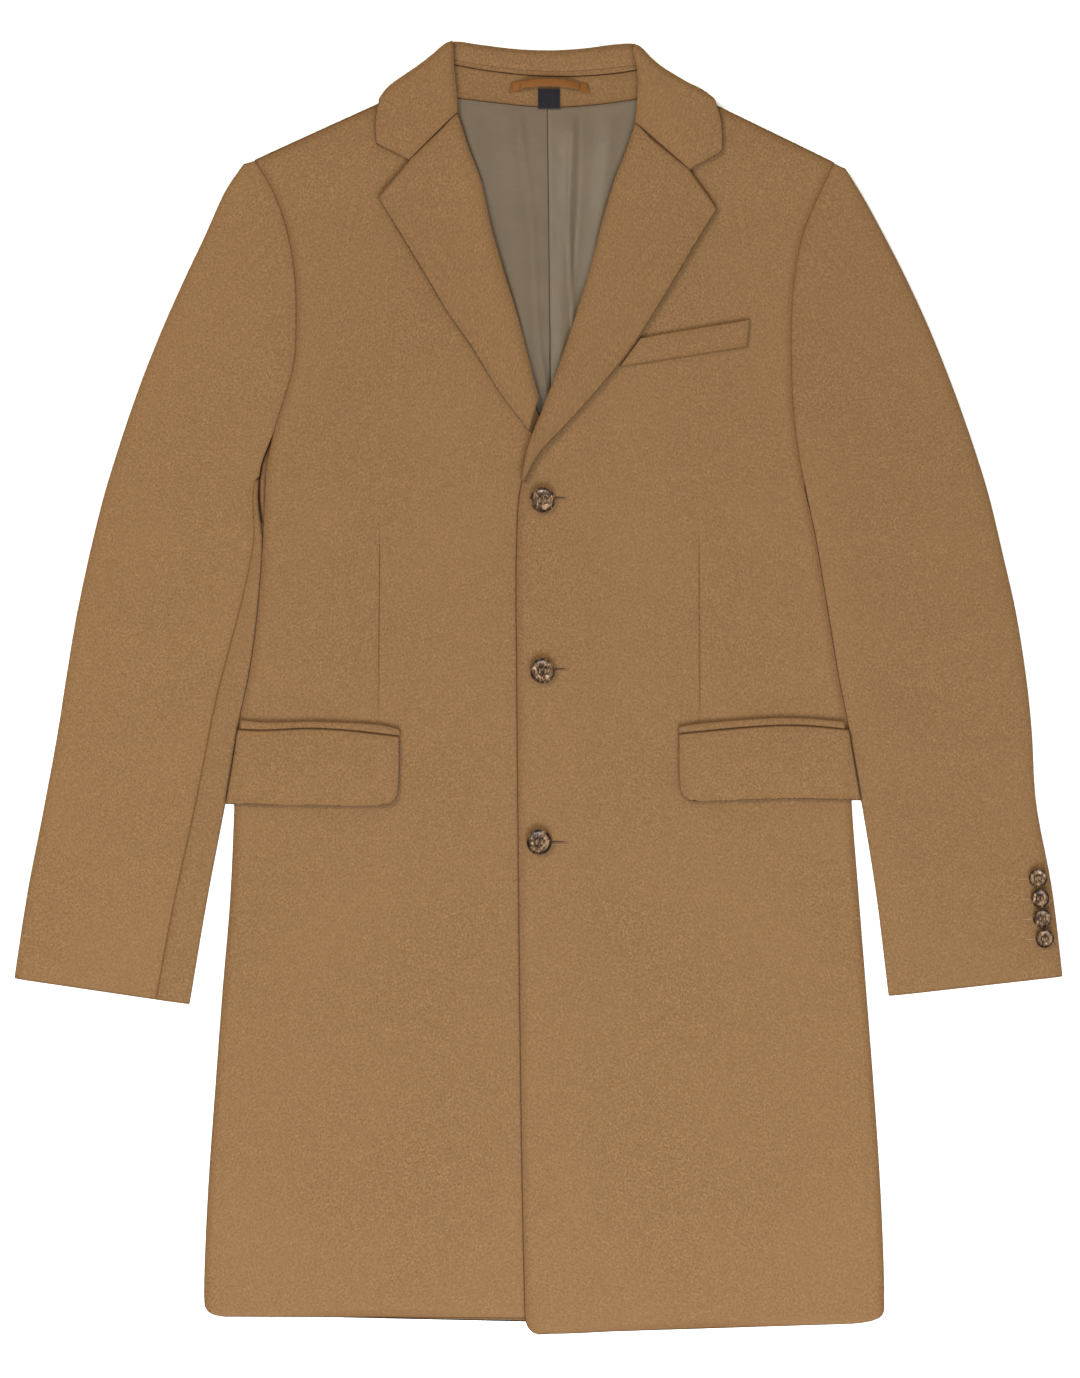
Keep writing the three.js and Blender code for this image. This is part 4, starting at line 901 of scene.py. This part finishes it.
def surface(tree, shader, tone, rough, bumps, values):
    """Joins a finish together: its colour, its roughness as a guiding value and a range, bumps as height, strength
    and depth, and its other values."""
    guide, smoothest, roughest = rough
    wire(tree, (tone, shader.inputs["Base Color"]),
         (ranged(tree, guide, 0.3, 0.7, smoothest, roughest), shader.inputs["Roughness"]))
    for key, value in values.items():
        shader.inputs[key].default_value = value
    normal = None
    for height, strength, depth in bumps:
        bump = add(tree, "Bump", {"Strength": strength, "Distance": depth})
        wire(tree, (height, bump.inputs["Height"]))
        if normal:
            wire(tree, (normal, bump.inputs["Normal"]))
        normal = bump.outputs["Normal"]
    wire(tree, (normal, shader.inputs["Normal"]))


def coat_wool(name, shade, edge=0.5, depth=0.1):
    """Napped camel overcoating: matted fibre, soft mottling, and painted shade towards its cut edges and seams."""
    material, tree, cloth = new_material(name)
    flat, near = on_cloth(tree), cut_edge(tree)
    fibre = flecks(tree, flat, 640, 4, (1, 0.85, 1), 0, 0.66, 0.5)
    strands = flecks(tree, flat, 2600, 2, (1, 0.16, 1), 0.5, 0.6, 0.4)
    mottle = flecks(tree, flat, 130, 4, (1, 0.6, 1), 0, 0.6, 0.5)
    drift = flecks(tree, flat, 9, 3, (1, 1, 1), 0, 0.5, 0.2)

    def camel(k):
        return linear(CAMEL, shade * k)

    tone = toned(tree, ramp(tree, fibre, [(0.36, camel(0.66)), (0.5, camel(1)), (0.64, camel(1.42))]),
                 (strands, 0.4, 0.75, 0, 0.34, camel(1.5)),
                 (mottle, 0.3, 0.7, 0, 0.5, camel(0.86)),
                 (drift, 0.35, 0.65, 0, 0.35, camel(1.12)),
                 # painted shade: darker over 7 mm beside every cut edge and seam, darkest within 1.3 mm of it, and
                 # deep shade where from_edge is marked -1
                 (near, 0, 7, depth, 0, linear((66, 38, 18))),
                 (near, 0, 1.3, edge, 0, linear((50, 27, 11))),
                 (near, -1, 0, 0.93, 0, linear((40, 20, 8))))
    surface(tree, cloth, tone, (mottle, 0.84, 0.97), [(mottle, 0.4, 0.0009), (fibre, 0.35, 0.0004)],
            {"Specular IOR Level": 0.0, "Sheen Weight": 0.05, "Sheen Roughness": 0.45,
             "Sheen Tint": (0.9, 0.72, 0.52, 1)})
    return material


def satin(name, colour, dark, gloss, shine):
    """Shiny twill lining: fine slanting ribs, their darker bands painted shade where real ribs darken and lighten as
    the cloth turns.
    """
    material, tree, cloth = new_material(name)
    flat = on_cloth(tree)
    place = add(tree, "Mapping", {"Rotation": (0, 0, 0.7)})
    wire(tree, (flat, place.inputs["Vector"]))
    twill = ribs(tree, place.outputs["Vector"], 1500.0, "X", Distortion=0.6, Detail=1.0, **{"Detail Scale": 2.0})
    slub = flecks(tree, flat, 420, 3, (0.12, 1, 1), 0, 0.5)
    cloud = flecks(tree, flat, 26, 3, (1, 1, 1), 0, 0.5, 0.3)
    tone = toned(tree, linear(colour), (twill.outputs["Fac"], 0, 1, 0, 0.30, linear(dark)),
                 (slub, 0.4, 0.7, 0, 0.35, linear(colour, 1.14)), (cloud, 0.35, 0.7, 0, 0.3, linear(dark, 0.95)))
    surface(tree, cloth, tone, (slub, gloss - 0.05, gloss + 0.1), [(twill.outputs["Fac"], 0.25, 0.0002)],
            {"Specular IOR Level": shine, "Sheen Weight": 0.08})
    return material


def label_cloth(name):
    """Woven label, bare: a dark, slightly shiny plain weave with a woven selvedge line near its edge."""
    material, tree, cloth = new_material(name)
    flat, near = on_cloth(tree), cut_edge(tree)
    weft, warp = (ribs(tree, flat, scale, way, Distortion=0.4) for scale, way in ((900.0, "Y"), (700.0, "X")))
    weave = blended(tree, 1.0, weft.outputs["Color"], warp.outputs["Color"], "MULTIPLY")
    worn = flecks(tree, flat, 300, 3)
    tone = toned(tree, blended(tree, weave, linear((12, 12, 17)), linear((24, 24, 32))),
                 (worn, 0.45, 0.75, 0, 0.4, linear((34, 33, 41))), (near, 0.2, 0.6, 0.5, 0, linear((38, 36, 40))))
    surface(tree, cloth, tone, (worn, 0.7, 0.9), [(weave, 0.5, 0.0002)], {"Specular IOR Level": 0.12})
    return material


def button_horn(name, shade, gloss):
    """Polished marbled horn: cloudy pale and dark streaks."""
    material, tree, shader = new_material(name)
    spot = add(tree, "TexCoord").outputs["Object"]
    cloud = flecks(tree, spot, 290, 4, (1, 0.6, 1), 0.6, 0.55, 1.2)
    streak = flecks(tree, spot, 620, 4, (0.45, 1, 1), 0.4, 0.6, 0.8)
    pits = flecks(tree, spot, 2600, 2)
    marbling = [(place, linear(colour, shade)) for place, colour in (
        (0.36, (30, 17, 10)), (0.46, (58, 38, 25)), (0.54, (98, 72, 46)), (0.68, (156, 130, 100)))]
    tone = toned(tree, ramp(tree, cloud, marbling), (streak, 0.45, 0.72, 0, 0.6, linear((40, 24, 15), shade)))
    surface(tree, shader, tone, (pits, 0.34, 0.5), [(streak, 0.12, 0.0002)],
            {"Specular IOR Level": 0.3 * gloss, "Coat Weight": 0.06 * gloss, "Coat Roughness": 0.3})
    return material


def thread_finish(name, colour):
    """Twisted sewing thread: fine slanting plies and a dull shine."""
    material, tree, shader = new_material(name)
    spot = add(tree, "TexCoord").outputs["Object"]
    ply = ribs(tree, spot, 1300.0, "DIAGONAL", Distortion=1.0).outputs["Fac"]
    fuzz = flecks(tree, spot, 3000, 3)
    tone = toned(tree, linear(colour, 1.15), (ply, 0, 1, 0, 0.6, linear(colour, 0.62)),
                 (fuzz, 0.4, 0.7, 0, 0.4, linear(colour, 1.5)))
    surface(tree, shader, tone, (fuzz, 0.6, 0.85), [(ply, 0.4, 0.0001)], {"Specular IOR Level": 0.3})
    return material


# ---------- buttons, thread and buttonholes ----------
def alone(piece):
    """Makes a piece the only one picked."""
    bpy.ops.object.select_all(action="DESELECT")
    bpy.context.view_layer.objects.active = piece
    piece.select_set(True)


def blank(shape, **settings):
    """A new plain shape, the only one picked."""
    bpy.ops.object.select_all(action="DESELECT")
    shape(**settings)
    return bpy.context.object


def edit(piece, mode="VERT", action="DESELECT"):
    """Opens a piece for editing with nothing, or all of it, selected."""
    alone(piece)
    bpy.ops.object.mode_set(mode="EDIT")
    bpy.ops.mesh.select_mode(type=mode)
    bpy.ops.mesh.select_all(action=action)


def pick_faces(piece, wanted):
    """Selects the faces whose normal's z passes the test."""
    bpy.ops.object.mode_set(mode="OBJECT")
    for face in piece.data.polygons:
        face.select = bool(wanted(face.normal.z))
    bpy.ops.object.mode_set(mode="EDIT")


def settled(piece, name):
    """Names a piece, its place baked into its mesh."""
    bpy.ops.object.transform_apply(location=True, rotation=True, scale=True)
    piece.name = piece.data.name = name
    return piece


def finished(piece, name, smooth_angle=50):
    """Back to object mode, named and smooth."""
    bpy.ops.object.mode_set(mode="OBJECT")
    alone(piece)
    settled(piece, name)
    bpy.ops.object.shade_smooth_by_angle(angle=math.radians(smooth_angle))
    return piece


def apply(piece, kind, **settings):
    modifier = piece.modifiers.new(kind.lower(), kind)
    for key, value in settings.items():
        setattr(modifier, key, value)
    alone(piece)
    bpy.ops.object.modifier_apply(modifier=modifier.name)


def joined(parts, name):
    alone(parts[0])
    for part in parts:
        part.select_set(True)
    if len(parts) > 1:
        bpy.ops.object.join()
    return finished(bpy.context.object, name)


def copied(piece, name, shift):
    """Another of the same piece, with its own mesh, moved to its place."""
    alone(piece)
    bpy.ops.object.duplicate()
    bpy.ops.transform.translate(value=tuple(shift))
    return settled(bpy.context.object, name)


# the steps of a button's face from the rim inwards: how far in and how far up, in parts of its radius and height
FACE_STEPS = ((0.05, 0.0), (0.10, 0.0), (0.06, -0.10), (0.09, -0.22), (0.12, -0.10), (0.25, -0.03))
RIM_FROM, MIDDLE_TO = 0.78, 0.4            # parts of the radius where the dark rim starts and the dark middle ends
STRANDS, STRAND_GAP, STRAND_RADIUS = 3, 0.00034, 0.0002
DIAGONAL = 0.7071
BLANK_OVER = 1.02                          # smoothing the blank's outline takes this much off again
THREAD_RISE = 0.36                         # the loops' middle and half height, in parts of the button's height


def horn_button(node, spread, hole):
    """A dished four-hole button with a raised, rounded rim, turned and drilled from a blank."""
    low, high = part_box(node)
    middle, radius, height = (low + high) / 2, (high.x - low.x) / 2, high.z - low.z
    horn = blank(bpy.ops.mesh.primitive_cylinder_add, vertices=36, radius=radius * BLANK_OVER, depth=height,
                 location=middle)
    edit(horn, "FACE")
    pick_faces(horn, lambda up: up > 0.9)
    for thickness, depth in FACE_STEPS:
        bpy.ops.mesh.inset(thickness=radius * thickness, depth=height * depth)
    pick_faces(horn, lambda up: up < -0.9)
    bpy.ops.transform.resize(value=(0.9, 0.9, 1), center_override=tuple(middle))
    for thickness in (0.1, 0.25):
        bpy.ops.mesh.inset(thickness=radius * thickness, depth=0)
    bpy.ops.object.mode_set(mode="OBJECT")
    apply(horn, "SUBSURF", levels=1, render_levels=1)
    for k in range(4):
        angle = math.pi / 4 + k * math.pi / 2
        place = (middle.x + math.cos(angle) * spread, middle.y + math.sin(angle) * spread, middle.z)
        drill = blank(bpy.ops.mesh.primitive_cylinder_add, vertices=16, radius=hole, depth=height * 3, location=place)
        apply(horn, "BOOLEAN", object=drill, operation="DIFFERENCE", solver="EXACT")
        bpy.data.objects.remove(drill)
    piece = finished(horn, f"{node}_horn", 38)
    for face in piece.data.polygons:
        out = (face.center - middle).xy.length / radius
        face.material_index = 1 if out > RIM_FROM else 2 if out < MIDDLE_TO else 0
    return piece


def button_thread(node, spread):
    """Two parallel bands of thread, each of a few closed loops through two holes."""
    low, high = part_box(node)
    middle, height = (low + high) / 2, high.z - low.z
    reach, rise = spread * DIAGONAL, height * THREAD_RISE
    loops = []
    for side in (-1, 1):
        for k in range(STRANDS):
            place = (middle.x + side * reach + (k - (STRANDS - 1) / 2) * STRAND_GAP, middle.y, low.z + rise)
            loop = blank(bpy.ops.mesh.primitive_torus_add, major_segments=28, minor_segments=8, major_radius=reach,
                         minor_radius=STRAND_RADIUS, location=place, rotation=(0, math.pi / 2, 0))
            edit(loop, action="SELECT")
            bpy.ops.transform.resize(value=(1, 1, rise / reach), center_override=place)
            bpy.ops.object.mode_set(mode="OBJECT")
            loops.append(loop)
    return joined(loops, f"{node}_thread")


ABOVE, COAT_TOP = 0.1, 0.006               # well above the coat, and about its upper side, in metres


def on_top(piece, x, y):
    """The height of a piece's upper surface, in metres."""
    hit, place, *_ = piece.ray_cast(Vector((x, y, ABOVE)), Vector((0, 0, -1)))
    return place.z if hit else COAT_TOP


def stitch(place, size, turn=0.0):
    return blank(bpy.ops.mesh.primitive_uv_sphere_add, segments=8, ring_count=5, radius=1, location=place, scale=size,
                 rotation=(0, 0, turn))


def row_of(first, count, pitch):
    """Repeats a stitch along a row in edit mode."""
    edit(first, action="SELECT")
    for _ in range(count - 1):
        bpy.ops.mesh.duplicate_move(TRANSFORM_OT_translate={"value": pitch})
    bpy.ops.object.mode_set(mode="OBJECT")
    return first


def buttonhole(name, cloth, start, end, half, thread, pitch=0.0005):
    """A worked slot from the button outwards: close stitches below the slit and round its end, and above them a thin
    solid piece where the slit lies open, which on the fronts is painted dark as its shade."""
    start, end = Vector(start), Vector(end)
    count = int((end - start).length / pitch)
    step = (end - start) / count
    turn = math.atan2(step.y, step.x)

    def over(x, y, rise):
        return x, y, on_top(cloth, x, y) + rise

    low = stitch(over(start.x, start.y - half, thread * 0.2), (thread * 0.62, half * 0.8, thread), turn)
    fall = (on_top(cloth, *end.xy) - on_top(cloth, *start.xy)) / count
    rows = [row_of(low, count, (step.x, step.y, fall))]
    out = math.copysign(1, step.x)
    for k in range(5):
        angle = mix(-math.pi / 2, math.pi / 2, k / 4)
        place = (end.x + out * math.cos(angle) * half, end.y + math.sin(angle) * half)
        rows.append(stitch(over(*place, thread * 0.2), (half * 0.7, thread * 0.6, thread), angle * out))
    upper = (start + end) / 2
    slit = stitch(over(upper.x, upper.y + half * 0.75, thread * 0.1),
                  ((end - start).length / 2, half * 0.85, thread * 0.9), turn)
    return joined(rows, name), finished(slit, f"{name}_slit")


def metres(x, y):
    return (x + SHIFT[0]) * MM, (y + SHIFT[1]) * MM


def stitch_line(name, cloth, points, pitch, size):
    """A line of separate stitches lying along a curve on a piece's surface."""
    line = through(points, 401)
    far = run_of(line)
    stitches = []
    for d in np.arange(pitch / 2, far[-1] - pitch / 2, pitch):
        (x, y), (x1, y1) = ([np.interp(at, far, values) for values in line.T] for at in (d, d + 0.5))
        place = metres(x, y)
        stitches.append(stitch((*place, on_top(cloth, *place) - size[2] * 0.15), size, math.atan2(y1 - y, x1 - x)))
    return joined(stitches, name)


# ---------- making the cloth ----------
made = {}
for part in ("right", "left"):
    made[f"back_{part}"] = back(part)
    made[f"front_{part}"] = front(part)
    made[f"sleeve_top_{part}"], made[f"sleeve_under_{part}"] = sleeve(part, wrap_over=part == "right")
    made[f"lapel_{part}"] = lapel(part)
    made[f"flap_{part}"] = flap(part)
    made[f"jet_{part}"] = jet(part)
    made[f"lining_{part}"] = lining(part)
made["collar"] = collar()
made["collar_stand"] = neck_band("collar_stand", NECK_TOP, STAND_SEAM, (-70, 78.5), stand_height, CLOTH,
                                 grid_line([0, 0.3, 0.74, 0.86, 0.93, 1], [14, 6, 10, 3, 4]), rim=CLOTH_RIM)
made["neck_facing"] = neck_band("neck_facing", [(x, y - GAP) for x, y in STAND_SEAM], FACING_SEAM, (-68, 80),
                                facing_height, TRIM, np.linspace(0, 1, 24))
made["hanger_loop"] = hanger_loop()
made["breast_welt"] = welt()
made["neck_label"] = neck_label()

CAMEL = (95, 71, 47)
# the same cloth is painted a little paler or darker on each piece: partly painted light and shade, as light falls on
# that piece, and partly the run of its nap
NAP_AND_PAINTED_LIGHT = {"sleeve_top_right": 1.03, "sleeve_under_right": 0.98, "sleeve_top_left": 0.98, "sleeve_under_left": 0.96,
       "lapel_right": 0.98, "lapel_left": 0.97, "neck_facing": 0.95, "back_right": 0.98, "back_left": 0.98}
# painted shade: how dark a piece is painted at its very edge, and more softly beside it, standing for the shade at
# seams and cut edges
SEAM_SHADE = {"front": (0.7, 0.36), "back": (0.5, 0), "sleeve": (0.26, 0.1), "lapel": (0.3, 0.14),
              "collar": (0.3, 0.14)}
OTHER_SHADE = (0.35, 0.12)
BOTH_BACKS = ["back_right", "back_left"]
RESTS = {f"{upper}_{part}": [f"{lower}_{part}"]
         for upper, lower in (("front", "back"), ("sleeve_top", "sleeve_under"), ("lapel", "front"),
                              ("lining", "back"), ("flap", "front"), ("jet", "front"))
         for part in ("right", "left")}
RESTS["front_left"].append("front_right")
RESTS.update(collar=["lapel_right", "lapel_left", *BOTH_BACKS], collar_stand=BOTH_BACKS, neck_facing=BOTH_BACKS,
             breast_welt=["front_left"], hanger_loop=["collar_stand", "neck_facing"], neck_label=["neck_facing"])
SLOTS = {"lining_right": "lining_satin", "lining_left": "lining_satin", "hanger_loop": "loop_satin",
         "neck_label": "label_weave"}
FINISHES = {"lining_satin": satin("lining_satin", (75, 63, 47), (60, 49, 36), gloss=0.45, shine=0.3),
            "loop_satin": satin("loop_satin", (98, 58, 21), (62, 35, 13), gloss=0.5, shine=0.06),
            "label_weave": label_cloth("label_weave")}
for node, piece in made.items():
    slot = SLOTS.get(node, "coat_cloth")
    finish = FINISHES.get(slot) or coat_wool(f"wool_{node}", NAP_AND_PAINTED_LIGHT.get(node, 1.0),
                                             *SEAM_SHADE.get(node.split("_")[0], OTHER_SHADE))
    piece.data.materials.append(finish)
    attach(piece, "root")
    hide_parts(node)

# ---------- making the trimmings ----------
# each button is pale and marbled between a dark rim and a darker middle
horn = [button_horn(f"button_horn{place}", shade, gloss)
        for place, shade, gloss in (("", 1.0, 0.8), ("_rim", 0.32, 0.15), ("_middle", 0.5, 0.4))]
cuff_horn = [button_horn(f"cuff_button_horn{place}", shade, gloss)
             for place, shade, gloss in (("", 0.9, 0.8), ("_rim", 0.32, 0.15), ("_middle", 0.45, 0.4))]
button_cotton = [thread_finish("button_thread", (96, 74, 56))]
edge_cotton = [thread_finish("camel_thread", (108, 80, 50))]
# painted shade: the dark of an open buttonhole slit, given to a thin solid piece lying on the cloth where the slit is
slit_shadow = [thread_finish("slit_shadow", (46, 27, 12))]
loop_cotton = [thread_finish("loop_thread", (60, 33, 14))]


def trimming(piece, finishes, node=None):
    for finish in finishes:
        piece.data.materials.append(finish)
    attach(piece, "root")
    if node:
        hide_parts(node)


# each kind of button and buttonhole is made once, then copied to its other places
for prefix, count, spread, hole, finishes in (("button", 3, 0.0031, 0.0011, horn),
                                              ("cuff_button", 4, 0.0022, 0.00085, cuff_horn)):
    first = f"{prefix}_1"
    disc, thread = horn_button(first, spread, hole), button_thread(first, spread)
    for k in range(2, count + 1):
        node = f"{prefix}_{k}"
        shift = middle_of(node) - middle_of(first)
        trimming(copied(disc, f"{node}_horn", shift), finishes, node)
        trimming(copied(thread, f"{node}_thread", shift), button_cotton)
    trimming(disc, finishes, first)
    trimming(thread, button_cotton)

CUFF_HOLES = [middle_of(f"cuff_button_{k + 1}") for k in range(4)]
for name, cloth, starts, reach, half, thread, shadow in (
        ("buttonhole", made["front_left"], [metres(2.6, 148.2), metres(2.6, 13.1), metres(2.2, -123.5)],
         (0.02, 0), 0.0010, 0.0004, slit_shadow),
        ("cuff_buttonhole", made["sleeve_top_left"], [(c.x - 0.003, c.y - 0.0006) for c in CUFF_HOLES],
         (-0.0132, -0.001), 0.0006, 0.00025, edge_cotton)):
    x, y = starts[0]
    stitches, slit = buttonhole(f"{name}_1", cloth, (x, y, 0), (x + reach[0], y + reach[1], 0), half, thread)
    level = on_top(cloth, x + reach[0], y + reach[1])
    for k, (other_x, other_y) in enumerate(starts[1:], 2):
        shift = (other_x - x, other_y - y, on_top(cloth, other_x + reach[0], other_y + reach[1]) - level)
        trimming(copied(stitches, f"{name}_{k}", shift), edge_cotton)
        trimming(copied(slit, f"{name}_{k}_slit", shift), shadow)
    trimming(stitches, edge_cotton)
    trimming(slit, shadow)

BARS = [(-20.9, 475.2), (-14.6, 475.2), (38.4, 475.2), (32.2, 475.2)]
BAR_HALF = 2.6
loop, (x, y) = made["hanger_loop"], BARS[0]
bar = stitch_line("loop_bar_1", loop, [(x, y), (x + 0.05, y - BAR_HALF), (x, y - 2 * BAR_HALF)], 0.9,
                  (0.0008, 0.00036, 0.0003))
level = on_top(loop, *metres(x, y - BAR_HALF))
for k, (other_x, other_y) in enumerate(BARS[1:], 2):
    rise = on_top(loop, *metres(other_x, other_y - BAR_HALF)) - level
    trimming(copied(bar, f"loop_bar_{k}", ((other_x - x) * MM, (other_y - y) * MM, rise)), loop_cotton)
trimming(bar, loop_cotton)

# ---------- floor, light and camera ----------
FLOOR = 14                                 # metres each way, far more than the camera sees
bpy.ops.mesh.primitive_plane_add(size=FLOOR, location=(0, 0, cad_box[0].z))
floor = bpy.context.object
floor.name = "floor"
paper, _, matt = new_material("pale_floor")
for key, value in {"Base Color": (0.86, 0.86, 0.86, 1), "Roughness": 0.95, "Specular IOR Level": 0.1}.items():
    matt.inputs[key].default_value = value
floor.data.materials.append(paper)

scene = bpy.context.scene
world = bpy.data.worlds.new("studio")
scene.world = world
world.use_nodes = True
sky = world.node_tree.nodes["Background"].inputs
sky["Color"].default_value, sky["Strength"].default_value = (1, 0.97, 0.88, 1), 1.15
scene.view_settings.view_transform = "Standard"

# each soft box: its place, its width and height, its power in watts and its colour. All of them face the coat
for name, place, size, power, colour in (
        ("overhead_box", (0, 0, 3.0), (3.0, 3.0), 12, (1, 0.97, 0.9)),
        ("hem_box", (0.2, -2.2, 1.7), (1.8, 1.4), 172, (0.80, 0.89, 1)),
        ("shoulder_box", (-2.4, 2.0, 3.2), (1.1, 1.1), 140, (1, 0.94, 0.8))):
    lamp = bpy.data.lights.new(name, "AREA")
    lamp.shape, lamp.size, lamp.size_y = "RECTANGLE", *size
    lamp.energy, lamp.color = power, colour
    holder = bpy.data.objects.new(name, lamp)
    holder.location = place
    holder.rotation_euler = (-Vector(place)).to_track_quat("-Z", "Y").to_euler()
    scene.collection.objects.link(holder)

LENS, SENSOR = 85, 36
VIEW_LONG = 1.0886                         # the longer side of what the camera sees at the coat's top, in metres
lens = bpy.data.cameras.new("camera")
lens.lens, lens.sensor_width, lens.sensor_fit = LENS, SENSOR, "AUTO"
camera = bpy.data.objects.new("camera", lens)
camera.location = (0.0012, -0.0011, COAT_TOP + VIEW_LONG * LENS / SENSOR)
scene.collection.objects.link(camera)
scene.camera = camera
